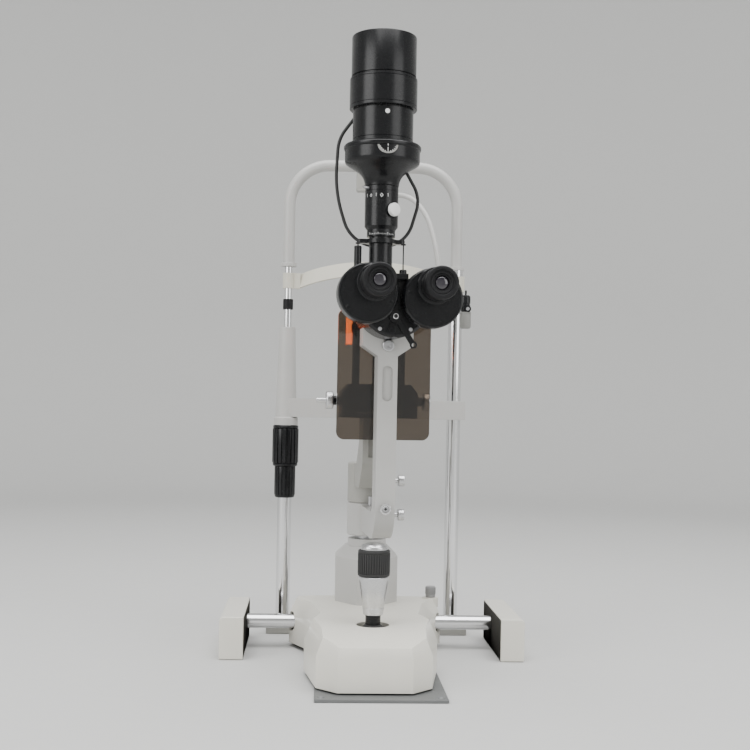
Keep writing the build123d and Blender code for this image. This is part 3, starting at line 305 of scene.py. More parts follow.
def lathe(profile: Profile, segments: int = 72) -> bmesh.types.BMesh:
    """Turn a (radius, z) profile about Z.

    Args:
        profile: Points from one end to the other.
        segments: Steps round the axis.

    Returns:
        The turned mesh.
    """
    mesh = bmesh.new()
    verts = [mesh.verts.new((radius, 0.0, z)) for radius, z in profile]
    edges = [mesh.edges.new(pair) for pair in zip(verts, verts[1:])]
    bmesh.ops.spin(mesh, geom=verts + edges, cent=(0, 0, 0), axis=(0, 0, 1), angle=2 * math.pi,
                   steps=segments, use_merge=True)
    bmesh.ops.remove_doubles(mesh, verts=mesh.verts, dist=1e-4)
    bmesh.ops.recalc_face_normals(mesh, faces=mesh.faces)
    return mesh


def stack(rings: list[list[Vector]], caps: bool = True) -> bmesh.types.BMesh:
    """Skin a row of rings that have the same number of points.

    Args:
        rings: Rings from one end to the other.
        caps: Whether the end rings are filled.

    Returns:
        The skinned mesh.
    """
    mesh = bmesh.new()
    loops = []
    for ring in rings:
        verts = [mesh.verts.new(point) for point in ring]
        loops.append([mesh.edges.new((verts[i - 1], verts[i])) for i in range(len(verts))])
    for lower, upper in zip(loops, loops[1:]):
        bmesh.ops.bridge_loops(mesh, edges=lower + upper)
    if caps:
        for loop in (loops[0], loops[-1]):
            bmesh.ops.contextual_create(mesh, geom=loop)
    bmesh.ops.recalc_face_normals(mesh, faces=mesh.faces)
    return mesh


def level(outline: list[Point2], z: float) -> list[Vector]:
    """Lift a flat outline to a height.

    Args:
        outline: Flat points.
        z: Height.

    Returns:
        The ring.
    """
    return [Vector((x, y, z)) for x, y in outline]


def slab(outline: list[Point2], low: float, high: float, edge: float = 0.8,
         steps: int = 3) -> bmesh.types.BMesh:
    """Raise an outline between two heights with rounded rims.

    Args:
        outline: Closed outline, anticlockwise.
        low: Lower height.
        high: Upper height.
        edge: Rim rounding radius.
        steps: Segments of the rounding.

    Returns:
        The mesh.
    """
    rings = []
    for step in range(steps + 1):
        turn = math.pi / 2 * step / steps
        rings.append(level(grow(outline, -edge * (1 - math.sin(turn))), low + edge * (1 - math.cos(turn))))
    for step in range(steps + 1):
        turn = math.pi / 2 * step / steps
        rings.append(level(grow(outline, -edge * (1 - math.cos(turn))), high - edge * (1 - math.sin(turn))))
    return stack(rings)


def block(low: tuple[float, float, float], high: tuple[float, float, float],
          edge: float = 0.6) -> bmesh.types.BMesh:
    """Bevelled box between two corners.

    Args:
        low: Lowest corner.
        high: Highest corner.
        edge: Bevel width.

    Returns:
        The mesh.
    """
    mesh = bmesh.new()
    bmesh.ops.create_cube(mesh, size=1.0)
    size = [b - a for a, b in zip(low, high)]
    middle = [(a + b) / 2 for a, b in zip(low, high)]
    bmesh.ops.scale(mesh, vec=size, verts=mesh.verts)
    bmesh.ops.translate(mesh, vec=middle, verts=mesh.verts)
    if edge > 0:
        bmesh.ops.bevel(mesh, geom=mesh.edges[:], offset=edge, segments=2, profile=0.5,
                        affect="EDGES", material=-1)
    return mesh


def ball(radius: float, squash: float = 1.0) -> bmesh.types.BMesh:
    """Sphere, or a flattened one.

    Args:
        radius: Radius across.
        squash: Height as a share of the width.

    Returns:
        The mesh.
    """
    mesh = bmesh.new()
    bmesh.ops.create_uvsphere(mesh, u_segments=40, v_segments=20, radius=radius)
    bmesh.ops.scale(mesh, vec=(1, 1, squash), verts=mesh.verts)
    return mesh


def rounded_route(points: list[tuple[float, float, float]], share: float = 0.45,
                  steps: int = 14) -> list[Vector]:
    """Route of straight runs joined by tangent arcs.

    Args:
        points: Corners of the route.
        share: Share of the shorter run that each arc takes.
        steps: Points per arc.

    Returns:
        Points along the route.
    """
    corners = [Vector(point) for point in points]
    route = [corners[0]]
    for before, here, after in zip(corners, corners[1:], corners[2:]):
        into, out = (here - before).normalized(), (after - here).normalized()
        half = into.angle(out) / 2
        reach = share * min((here - before).length, (after - here).length)
        radius = reach / math.tan(half)
        inward = (out - into).normalized()
        centre = here + inward * (radius / math.cos(half))
        start = here - into * reach
        axis = into.cross(out).normalized()
        for step in range(steps + 1):
            turn = Matrix.Rotation(2 * half * step / steps, 3, axis)
            route.append(centre + turn @ (start - centre))
    route.append(corners[-1])
    return route


def wrapped(part: bmesh.types.BMesh, height: float) -> bmesh.types.BMesh:
    """Bend a flat part round the Z axis, with its Z as the radius and its Y as the height.

    Args:
        part: Flat mesh; it is changed.
        height: Height of its Y origin.

    Returns:
        The same mesh.
    """
    for vert in part.verts:
        along, up, radius = vert.co
        turn = along / radius
        vert.co = (radius * math.sin(turn), -radius * math.cos(turn), height + up)
    return part


def sweep(route: list[Vector], radius: float, sides: int = 20) -> bmesh.types.BMesh:
    """Round tube along a route.

    Args:
        route: Points along the middle.
        radius: Tube radius.
        sides: Sides of the tube.

    Returns:
        The mesh.
    """
    heading = (route[1] - route[0]).normalized()
    across = heading.orthogonal().normalized()
    rings = []
    for index, point in enumerate(route):
        ahead = route[min(index + 1, len(route) - 1)] - route[max(index - 1, 0)]
        direction = ahead.normalized()
        across = heading.rotation_difference(direction) @ across
        heading = direction
        other = heading.cross(across)
        turns = [2 * math.pi * n / sides for n in range(sides)]
        rings.append([point + (across * math.cos(t) + other * math.sin(t)) * radius for t in turns])
    return stack(rings)


@dataclass
class Piece:
    """One visible object in the making: parts in millimetres, each with a finish.

    Attributes:
        name: Object name.
        body: CAD body it rides on.
        place: Matrix from local to row axes, in millimetres.
        slot: Record slot of the piece; not used.
        stands_for: CAD nodes that it replaces.
        crease: Angle in degrees above which an edge stays sharp.
    """

    name: str
    body: str
    slot: Slot
    place: Matrix = field(default_factory=lambda: Matrix.Identity(4))
    stands_for: tuple[str, ...] = ()
    crease: float = 32.0
    finishes: list[Finish] = field(default_factory=list)
    mesh: bmesh.types.BMesh = field(default_factory=bmesh.new)

    def add(self, part: bmesh.types.BMesh, finish: Finish, place: Matrix | None = None) -> "Piece":
        """Add one part.

        Args:
            part: Mesh in millimetres; it is used up.
            finish: Its finish.
            place: Optional placement inside the piece.

        Returns:
            The piece itself.
        """
        if finish not in self.finishes:
            self.finishes.append(finish)
        number = self.finishes.index(finish)
        for face in part.faces:
            face.material_index = number
            face.smooth = True
        if place is not None:
            part.transform(place)
        data = bpy.data.meshes.new("part")
        part.to_mesh(data)
        part.free()
        self.mesh.from_mesh(data)
        bpy.data.meshes.remove(data)
        return self

    def finish(self, ride: bool = True) -> bpy.types.Object:
        """Make the object, put it in the frame and hide the CAD nodes it stands for.

        Args:
            ride: Whether it rides on its body; a blended piece doesn't.

        Returns:
            The finished object.
        """
        self.mesh.transform(Matrix.Scale(MM, 4) @ self.place)
        data = bpy.data.meshes.new(self.name)
        self.mesh.to_mesh(data)
        self.mesh.free()
        for used in self.finishes:
            data.materials.append(PAINT.material(used))
        data.set_sharp_from_angle(angle=math.radians(self.crease))
        item = bpy.data.objects.new(self.name, data)
        bpy.context.scene.collection.objects.link(item)
        if self.stands_for:
            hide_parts(*self.stands_for)
        if ride:
            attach(item, self.body)
        return item


def lying(direction: str, x: float = 0.0, y: float = 0.0, z: float = 0.0) -> Matrix:
    """Placement that turns a part built along Z to another direction.

    Args:
        direction: One of x, -x, y, -y and z.
        x: Position of its origin.
        y: Position of its origin.
        z: Position of its origin.

    Returns:
        The placement.
    """
    quarter = math.pi / 2
    turns = {
        "x": Matrix.Rotation(quarter, 4, "Y"), "-x": Matrix.Rotation(-quarter, 4, "Y"),
        "y": Matrix.Rotation(-quarter, 4, "X"), "-y": Matrix.Rotation(quarter, 4, "X"),
        "z": Matrix.Identity(4),
    }
    return Matrix.Translation((x, y, z)) @ turns[direction]


@dataclass
class Frame:
    """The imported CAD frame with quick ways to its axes."""

    loaded: dict

    def pivot(self, joint: str) -> Vector:
        """Position of a hinge in millimetres.

        Args:
            joint: Joint name.

        Returns:
            Its position.
        """
        found = next(item for item in self.loaded["joints"] if item["name"] == joint)
        return Vector(found["pos_m"]) / MM

    def swing(self) -> float:
        """Rest swing of both arms about Z, in radians."""
        found = next(item for item in self.loaded["joints"] if item["name"] == "tower_tilt")
        return math.atan2(found["axis"][1], found["axis"][0])

    def arm(self) -> Matrix:
        """Local axes of both arms: the pivot axis, with -Y towards the examiner."""
        middle = self.pivot("microscope_swing")
        return Matrix.Translation((middle.x, middle.y, 0)) @ Matrix.Rotation(self.swing(), 4, "Z")

    def tower(self) -> Matrix:
        """Local axes of the illumination tower."""
        middle = self.pivot("tower_tilt")
        return Matrix.Translation((middle.x, middle.y, 0)) @ Matrix.Rotation(self.swing(), 4, "Z")


@dataclass
class SoftCopy:
    """A CAD node shown with softened edges.

    Attributes:
        node: CAD node.
        finish: Its finish.
        width: Edge rounding in millimetres.
    """

    node: str
    body: str
    slot: Slot
    finish: Finish
    width: float = 0.6
    crease: float = 30.0
    flat: bool = False

    def make(self, frame: Frame) -> bpy.types.Object:
        """Copy the node's mesh, merge its flat faces and bevel its real edges.

        Args:
            frame: The loaded frame.

        Returns:
            The new object.
        """
        source = frame.loaded["nodes"][self.node]
        mesh = bmesh.new()
        mesh.from_mesh(source.data)
        bmesh.ops.remove_doubles(mesh, verts=mesh.verts, dist=2e-6)
        bmesh.ops.dissolve_limit(mesh, angle_limit=math.radians(0.6), use_dissolve_boundaries=False,
                                 verts=mesh.verts, edges=mesh.edges, delimit=set())
        if self.width > 0:
            sharp = [edge for edge in mesh.edges
                     if len(edge.link_faces) == 2 and edge.calc_face_angle(0.0) > math.radians(self.crease)]
            bmesh.ops.bevel(mesh, geom=sharp, offset=self.width * MM, segments=2, profile=0.5,
                            affect="EDGES", material=-1, clamp_overlap=True)
        mesh.transform(Matrix.Scale(1 / MM, 4))
        crease = 5.0 if self.flat else 50.0
        piece = Piece(self.node + "_look", self.body, self.slot, stands_for=(self.node,), crease=crease)
        piece.add(mesh, self.finish)
        item = piece.finish()
        weighted = item.modifiers.new("weighted normals", "WEIGHTED_NORMAL")
        weighted.keep_sharp = True
        return item


# Sub-assemblies


@dataclass
class Bodywork:
    """Plain castings, shafts and covers whose CAD shape is shown with softened edges."""

    copies: tuple[SoftCopy, ...] = (
        SoftCopy("friction_plate", "table_fixtures", Slot.PLATE, PLATE, 0.4),
        SoftCopy("rail_beds", "table_fixtures", Slot.BLACK, BLACK_MATT, 0.4),
        SoftCopy("gear_racks", "table_fixtures", Slot.WHITE, RACK, 0.0),
        SoftCopy("rail_covers", "table_fixtures", Slot.COVER, CREAM, 1.6),
        SoftCopy("headrest_beam", "table_fixtures", Slot.GREY, WARM_GREY, 1.2),
        SoftCopy("headrest_poles", "table_fixtures", Slot.CHROME, CHROME, 0.3),
        SoftCopy("forehead_frame", "table_fixtures", Slot.LIGHT, PALE_GREY, 0.5),
        SoftCopy("fixation_bracket", "table_fixtures", Slot.GREY, WARM_GREY, 0.8),
        SoftCopy("canthus_marker", "table_fixtures", Slot.PLASTIC, BLACK_MATT, 0.6),
        SoftCopy("axle_guides", "carriage", Slot.PLASTIC, BLACK_MATT, 0.5),
        SoftCopy("axle_shaft", "axle", Slot.CHROME, CHROME, 0.5),
        SoftCopy("axle_wheels", "axle", Slot.PLASTIC, BLACK_MATT, 0.5),
        SoftCopy("axle_pinions", "axle", Slot.STEEL, STEEL, 0.0),
        SoftCopy("base_chassis", "base", Slot.BLACK, BLACK_MATT, 0.4),
        SoftCopy("linear_bearings", "base", Slot.ALUMINIUM, ALUMINIUM, 0.5),
        SoftCopy("spindle_housing", "base", Slot.GREY, PALE_GREY, 1.4),
        SoftCopy("joystick_gimbal", "joystick_tilt_ring", Slot.STEEL, STEEL, 0.2),
        SoftCopy("joystick_stem", "joystick_lever", Slot.BLACK, BLACK, 0.3),
        SoftCopy("spindle_shaft", "spindle", Slot.STEEL, STEEL, 0.4),
        SoftCopy("microscope_arm", "microscope", Slot.LIGHT, PALE_GREY, 1.3),
        SoftCopy("microscope_body", "microscope", Slot.BLACK, BLACK, 1.0),
        SoftCopy("objective_lens", "microscope", Slot.LENS, LENS, 0.8),
        SoftCopy("microscope_screws", "microscope", Slot.STEEL, STEEL, 0.4),
        SoftCopy("breath_shield", "microscope", Slot.SMOKED, SMOKED, 0.4, flat=True),
        SoftCopy("microscope_lock_knob", "microscope_lock", Slot.ALUMINIUM, ALUMINIUM, 0.5),
        SoftCopy("magnification_lever", "magnification", Slot.BLACK, BLACK, 0.5),
        SoftCopy("lamp_arm", "lamp_support", Slot.GREY, WARM_GREY, 1.3),
        SoftCopy("foot_block", "lamp_support", Slot.BLACK, BLACK, 1.2),
        SoftCopy("lamp_arm_lock_knob", "lamp_arm_lock", Slot.ALUMINIUM, ALUMINIUM, 0.5),
        SoftCopy("tower_base", "tower", Slot.BLACK, BLACK, 0.5),
        SoftCopy("tower_post", "tower", Slot.BLACK, BLACK, 0.6),
        SoftCopy("tower_mirror", "tower", Slot.MIRROR, MIRROR, 0.2),
        SoftCopy("side_rods", "tower", Slot.BLACK, BLACK, 0.4),
        SoftCopy("slit_head", "tower", Slot.BLACK, BLACK, 0.8),
        SoftCopy("slit_width_knobs", "slit_width", Slot.ALUMINIUM, ALUMINIUM, 0.6),
        SoftCopy("slit_crossbar", "slit_linkage", Slot.BLACK, BLACK, 0.4),
        SoftCopy("filter_turret", "filters", Slot.BLACK, BLACK, 0.4),
        SoftCopy("lamp_bulb", "lamp_head", Slot.LENS, LENS, 0.3),
        SoftCopy("chinrest_bracket", "chinrest", Slot.LIGHT, PALE_GREY, 1.6),
        SoftCopy("chin_cup", "chinrest", Slot.WHITE, WHITE, 1.5),
        SoftCopy("fixation_arm", "fixation_support", Slot.LIGHT, PALE_GREY, 0.3),
        SoftCopy("base_cover", "base", Slot.COVER, CREAM, 2.2),
        SoftCopy("forehead_belt", "table_fixtures", Slot.BELT, BAND, 0.3),
    )

    def make(self, frame: Frame) -> None:
        """Make every copy.

        Args:
            frame: The loaded frame.
        """
        for copy in self.copies:
            copy.make(frame)


@dataclass
class Joystick:
    """Turned sleeve, ribbed grip, domed cap and the ball cover in the base."""

    cone_low: float = 75.0
    cone_high: float = 118.0
    grip_high: float = 147.0
    grip_radius: float = 18.0

    def make(self, frame: Frame) -> None:
        """Make the joystick's pieces.

        Args:
            frame: The loaded frame.
        """
        stick = frame.pivot("joystick_turn")
        place = Matrix.Translation((stick.x, stick.y, 0))
        cone = Piece("joystick_sleeve", "joystick_lever", Slot.ALUMINIUM, place, ("joystick_cone",))
        cone.add(lathe([(6.2, self.cone_low), (10.2, self.cone_low), (11.0, 75.7), (12.1, 83.0),
                        (11.8, 83.3), (12.2, 84.0), (16.4, 112.0), (16.9, 113.5), (17.0, 117.2),
                        (16.5, 117.9), (6.2, self.cone_high)], 96),
                 ALUMINIUM)
        cone.finish()
        grip = Piece("joystick_grip_look", "joystick_handle", Slot.RUBBER, place, ("joystick_grip",))
        low = self.cone_high + 0.4
        grip.add(slab(ribs(self.grip_radius, 0.7, 40), low + 3.0, self.grip_high - 3.2, 0.5), RUBBER)
        for bottom, height in ((low, 3.4), (self.grip_high - 3.6, 3.6)):
            grip.add(lathe([(0, bottom), (16.9, bottom), (17.7, bottom + 0.7), (17.8, bottom + height - 0.7),
                            (17.0, bottom + height), (0, bottom + height)]), RUBBER)
        grip.finish()
        cap = Piece("joystick_cap_look", "joystick_handle", Slot.ALUMINIUM, place, ("joystick_cap",))
        rim = self.grip_high
        dome = [(15.0 * math.cos(t * math.pi / 16), rim + 2.5 + 6.3 * math.sin(t * math.pi / 16))
                for t in range(9)]
        cap.add(lathe([(0, rim + 0.1), (14.4, rim + 0.1), (15.0, rim + 0.6)] + dome), ALUMINIUM)
        cap.finish()
        boot = Piece("joystick_ball_cover", "joystick_lever", Slot.RUBBER, place)
        reach = 16.7
        turns = [math.radians(8 + 6.5 * step) for step in range(9)]
        ball_part = [(reach * math.cos(t), 50.0 + reach * math.sin(t)) for t in turns]
        boot.add(lathe(ball_part + [(8.4, 65.2)]), RUBBER)
        boot.finish()


@dataclass
class LampHead:
    """Bell, lamp tube, grip ring, vented cap and the lead."""

    bell_top: float = 616.0
    ring_top: float = 697.0
    cap_top: float = 747.0
    window_top: float = 610.6

    def make(self, frame: Frame) -> None:
        """Make the lamp head's pieces.

        Args:
            frame: The loaded frame.
        """
        place = frame.tower()
        bell = Piece("lamp_bell_look", "lamp_head", Slot.BLACK, place, ("lamp_bell",))
        bell.add(lathe([(10.5, 568.3), (20.0, 568.3), (20.5, 568.8), (20.6, 571.0), (21.4, 574.5),
                        (23.0, 578.5), (25.6, 582.2), (29.4, 585.6), (34.6, 589.0), (40.5, 592.4),
                        (43.6, 594.6), (44.8, 596.4), (45.0, 598.6), (45.0, 610.6), (45.9, 611.2),
                        (46.3, 612.2), (46.3, 615.0), (45.6, 615.9), (10.5, self.bell_top)], 96),
                 BLACK)
        self._scale_window(bell)
        bell.finish()
        tube = Piece("lamp_tube", "lamp_head", Slot.BLACK, place, ("lamp_housing",))
        tube.add(lathe([(10.0, 616.1), (44.8, 616.1), (45.2, 616.5), (44.6, 617.0), (37.6, 617.6),
                        (36.4, 618.6), (36.25, 620.0), (36.25, 623.0), (35.9, 623.3), (36.25, 623.6),
                        (36.25, 657.4), (35.2, 657.9), (35.2, 659.2), (39.8, 659.5), (40.5, 660.2),
                        (40.5, 663.2), (40.1, 663.5), (40.5, 663.8), (40.5, 693.6), (40.1, 693.9),
                        (40.5, 694.2), (40.3, 696.2), (39.4, self.ring_top), (37.4, 697.1),
                        (37.4, 698.4), (38.85, 698.9), (38.85, 745.4), (38.4, 746.4),
                        (37.2, self.cap_top), (0, self.cap_top)], 128), BLACK)
        for number in range(8):
            # Vents: thin near-black blocks on the cap top, painted shade where the openings would be.
            turn = Matrix.Rotation(math.radians(22.5 + 45 * number), 4, "Z")
            tube.add(block((15.2, -1.5, 746.0), (29.0, 1.5, 747.12), 0.3), PAINTED_SHADE_DARK, turn)
        for turn in (0.0, 120.0, 240.0):
            around = Matrix.Rotation(math.radians(turn), 4, "Z")
            tube.add(lathe([(0, 36.0), (2.8, 36.0), (2.8, 36.5), (2.4, 36.9), (1.2, 37.0), (1.0, 36.6),
                            (0, 36.6)], 32),
                     WHITE, around @ lying("-y", 0.0, 0.0, 651.0))
        tube.finish()
        self._lead(frame)

    def _scale_window(self, bell: Piece) -> None:
        """Half-round scale window in the front of the bell, with its ticks.

        Args:
            bell: Piece that takes the parts.
        """
        turns = [math.pi + math.pi * step / 24 for step in range(25)]
        rim = [(13.0 * math.cos(t), 11.2 * math.sin(t)) for t in turns]
        pane = [(12.2 * math.cos(t), 10.4 * math.sin(t) - 0.5) for t in turns]
        bell.add(wrapped(slab(rim, 44.8, 45.25, 0.1, 1), self.window_top), BLACK_MATT)
        bell.add(wrapped(slab(pane, 45.0, 45.45, 0.1, 1), self.window_top), MID_GREY)
        for step in range(9):
            turn = math.pi + math.pi * (step + 1) / 10
            tick = block((-0.18, -0.9, 45.3), (0.18, 0.9, 45.6), 0.0)
            bmesh.ops.rotate(tick, matrix=Matrix.Rotation(turn + math.pi / 2, 3, "Z"), verts=tick.verts)
            spot = (9.6 * math.cos(turn), 8.0 * math.sin(turn) - 0.5, 0)
            bmesh.ops.translate(tick, vec=spot, verts=tick.verts)
            bell.add(wrapped(tick, self.window_top), MARKING)
        bell.add(wrapped(block((-0.35, -7.6, 45.3), (0.35, -3.8, 45.6), 0.0), self.window_top), MARKING)
        bell.add(wrapped(block((-0.4, -2.0, 45.3), (0.4, 0.0, 45.6), 0.0), self.window_top), MARKING)

    def _lead(self, frame: Frame) -> None:
        """Lead from the lamp tube round the column and back to the bell.

        Args:
            frame: The loaded frame.
        """
        route = rounded_route([(-33.0, 14.0, 652.0), (-51.0, 20.0, 628.0), (-54.0, 21.0, 565.0),
                               (-33.0, 21.5, 500.0), (33.0, 21.5, 500.0), (50.0, 18.0, 560.0),
                               (31.5, 16.5, 591.0)])
        lead = Piece("lamp_lead", "lamp_head", Slot.RUBBER, frame.tower(), ("lamp_cable",))
        lead.add(sweep(route, 2.0), RUBBER)
        item = lead.finish(ride=False)
        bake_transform(item)


@dataclass
class SlitControls:
    """Slit-length knob, the small marks round the slit head and the filter lever's tip."""

    turn: float = 30.0

    def make(self, frame: Frame) -> None:
        """Make the knob and the marks.

        Args:
            frame: The loaded frame.
        """
        facing = frame.tower() @ Matrix.Rotation(math.radians(self.turn), 4, "Z")
        knob = Piece("slit_knob_look", "slit_length", Slot.WHITE, facing, ("slit_length_knob",))
        height = frame.pivot("slit_length_turn").z
        knob.add(lathe([(0, 11.0), (2.0, 11.0), (2.0, 22.3), (7.6, 22.3), (8.0, 22.9), (8.0, 26.2),
                        (7.4, 27.0), (6.4, 27.3), (0, 27.3)], 48), WHITE, lying("-y", 0, 0, height))
        knob.finish()
        marks = Piece("slit_head_marks", "tower", Slot.BLACK, frame.tower())
        for turn, size in ((-47.0, 1.7), (-8.0, 2.1)):
            around = Matrix.Rotation(math.radians(turn), 4, "Z")
            for scale, finish, reach in ((1.0, MARKING, 20.2), (0.55, BLACK_MATT, 20.3)):
                wide, tall = size * scale, 1.3 * size * scale
                outline = [(-wide, 0), (0, -tall), (wide, 0), (0, tall)]
                marks.add(slab(outline, 19.9, reach, 0.03, 1), finish, around @ lying("-y", 0, 0, 555.5))
        for turn in (-66.0, -27.0, 14.0):
            around = Matrix.Rotation(math.radians(turn), 4, "Z")
            marks.add(block((-0.3, -20.2, 554.0), (0.3, -19.9, 558.0), 0.0), MARKING, around)
        for number in range(15):
            around = Matrix.Rotation(math.radians(-60 + 8 * number), 4, "Z")
            tall = 2.6 if number % 5 == 0 else 1.6
            marks.add(block((-0.22, -17.15, 509.6), (0.22, -16.8, 509.6 + tall), 0.0), MARKING, around)
        marks.finish()
        lever = Piece("filter_lever_tip", "filters", Slot.STEEL, frame.tower())
        side = Matrix.Rotation(math.radians(-60), 4, "Z")
        lever.add(lathe([(0, 19.0), (1.7, 19.0), (1.7, 27.0), (1.2, 28.0), (0, 28.3)], 24), STEEL,
                  side @ lying("-y", 0, 0, 565.1))
        lever.finish()


@dataclass
class Eyepiece:
    """One prism drum with its eyepiece, focusing ring and eye lens.

    Attributes:
        side: -1 for the left one, 1 for the right one.
        screw_turns: Degrees round the drum face of its three screws.
        screw_circle: Radius of the circle they stand on.
    """

    side: int
    screw_turns: tuple[float, ...]
    screw_circle: float = 27.6

    def make(self, frame: Frame) -> None:
        """Make the drum, the ring and the lens.

        Args:
            frame: The loaded frame.
        """
        word = "left" if self.side < 0 else "right"
        place = frame.arm()
        back = place.inverted()
        centre = back @ frame.pivot(f"{word}_drum_turn")
        eye = back @ frame.pivot(f"{word}_dioptre_turn")
        drum = Piece(f"{word}_drum_look", f"{word}_drum", Slot.BLACK, place, (f"{word}_prism_drum",))
        drum.add(lathe([(0, 192.0), (5.0, 192.0), (5.0, 200.0), (31.2, 200.0), (32.4, 200.8), (32.65, 201.6),
                        (32.65, 203.0), (32.3, 203.3), (32.65, 203.6), (32.65, 222.4), (32.2, 223.8),
                        (31.2, 224.8), (30.2, 225.0), (29.9, 224.6), (0, 224.6)], 96),
                 BLACK, lying("-y", centre.x, 0, centre.z))
        drum.add(lathe([(0, 223.0), (20.4, 223.0), (20.4, 225.2), (19.6, 226.0), (15.4, 226.6), (14.6, 228.0),
                        (14.0, 230.0), (14.0, 255.2), (12.2, 255.7), (12.2, 240.0), (0, 240.0)], 72),
                 BLACK, lying("-y", eye.x, 0, eye.z))
        for turn in self.screw_turns:
            angle = math.radians(turn)
            spot = (centre.x + self.screw_circle * math.cos(angle), 0,
                    centre.z + self.screw_circle * math.sin(angle))
            drum.add(lathe([(0, 224.0), (2.5, 224.0), (2.5, 224.9), (2.2, 225.1), (1.2, 225.1), (1.0, 224.7),
                            (0, 224.7)], 24), BLACK, lying("-y", *spot))
        drum.finish()
        ring = Piece(f"{word}_focusing_ring", f"{word}_focus", Slot.PLASTIC, place, (f"{word}_dioptre_ring",))
        lie = lying("-y", eye.x, 0, eye.z)
        ring.add(lathe([(14.1, 232.0), (17.2, 232.0), (18.0, 232.7), (18.0, 237.4), (17.4, 237.8)], 72),
                 BLACK, lie)
        ring.add(slab(ribs(17.9, 0.35, 56), 237.6, 250.4, 0.2), BLACK_MATT, lie)
        ring.add(lathe([(17.4, 250.2), (18.0, 250.7), (18.0, 259.6), (17.7, 260.8), (16.9, 261.7),
                        (15.8, 262.0), (13.9, 261.8), (13.3, 261.1), (13.0, 260.2), (12.4, 259.9),
                        (11.7, 260.3), (10.4, 260.1), (9.6, 259.2), (9.1, 258.4), (8.1, 258.2),
                        (7.7, 257.0), (7.2, 256.0), (0, 255.9)], 72),
                 BLACK_MATT, lie)
        ring.finish()
        # The eye lens is opaque near-black: painted shade for the dark tube behind the glass.
        lens = Piece(f"{word}_lens_look", f"{word}_focus", Slot.LENS, place, (f"{word}_eye_lens",))
        dome = [(7.1 * math.cos(t * math.pi / 12), 256.4 + 2.0 * math.sin(t * math.pi / 12))
                for t in range(7)]
        lens.add(lathe([(0, 256.05), (7.1, 256.05)] + dome, 48), EYE_LENS_PAINTED_SHADE, lie)
        lens.finish()


@dataclass
class HeadDetails:
    """Clamp screw, lever pin and the small plate under the drums."""

    def make(self, frame: Frame) -> None:
        """Make the pieces.

        Args:
            frame: The loaded frame.
        """
        place = frame.arm()
        lever_z = frame.pivot("magnification_turn").z
        plate = Piece("head_plate", "microscope", Slot.BLACK, place)
        low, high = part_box("microscope_screws")
        screw_z = low.z / MM + 6.8
        outline = [(-11.0, 384.8), (-1.0, 383.2), (1.6, 389.0), (0.6, lever_z - 8.0), (-6.0, lever_z - 6.4)]
        plate.add(slab(outline, 199.0, 200.5, 0.4), BLACK, lying("-y"))
        plate.add(lathe([(0, 200.0), (3.8, 200.0), (3.8, 200.9), (3.4, 201.1), (2.4, 201.1), (2.2, 200.7),
                         (0, 200.7)], 32), BLACK_MATT, lying("-y", -4.3, 0, 389.4))
        plate.finish()
        pin = Piece("lever_pin", "magnification", Slot.STEEL, place)
        pin.add(lathe([(0, 202.8), (3.2, 202.8), (3.2, 203.6), (2.9, 203.9), (2.2, 203.9), (2.0, 203.6)], 32),
                CHROME, lying("-y", 0, 0, lever_z))
        # Near-black disc sunk in the pin's rim: painted shade of its recess.
        pin.add(lathe([(0, 202.9), (2.0, 202.9), (2.0, 203.3), (0, 203.3)], 32), PAINTED_SHADE_DARK,
                lying("-y", 0, 0, lever_z))
        pin.finish()
        face = Piece("clamp_screw_face", "microscope", Slot.STEEL, place)
        lie = lying("-y", 0, 0, screw_z)
        face.add(lathe([(3.9, 153.6), (5.9, 153.6), (6.3, 154.0), (6.0, 154.5), (5.2, 154.7), (4.3, 154.5),
                        (3.9, 154.0), (3.9, 153.6)], 48), CHROME, lie)
        face.add(lathe([(0, 153.7), (3.6, 153.7), (3.6, 154.1), (3.2, 154.4), (0, 154.4)], 48), STEEL, lie)
        # Near-black diamond on the screw face: painted shade of the socket recess.
        face.add(slab([(-2.0, 0), (0, -2.0), (2.0, 0), (0, 2.0)], 154.2, 154.5, 0.03, 1), PAINTED_SHADE_DARK, lie)
        face.finish()


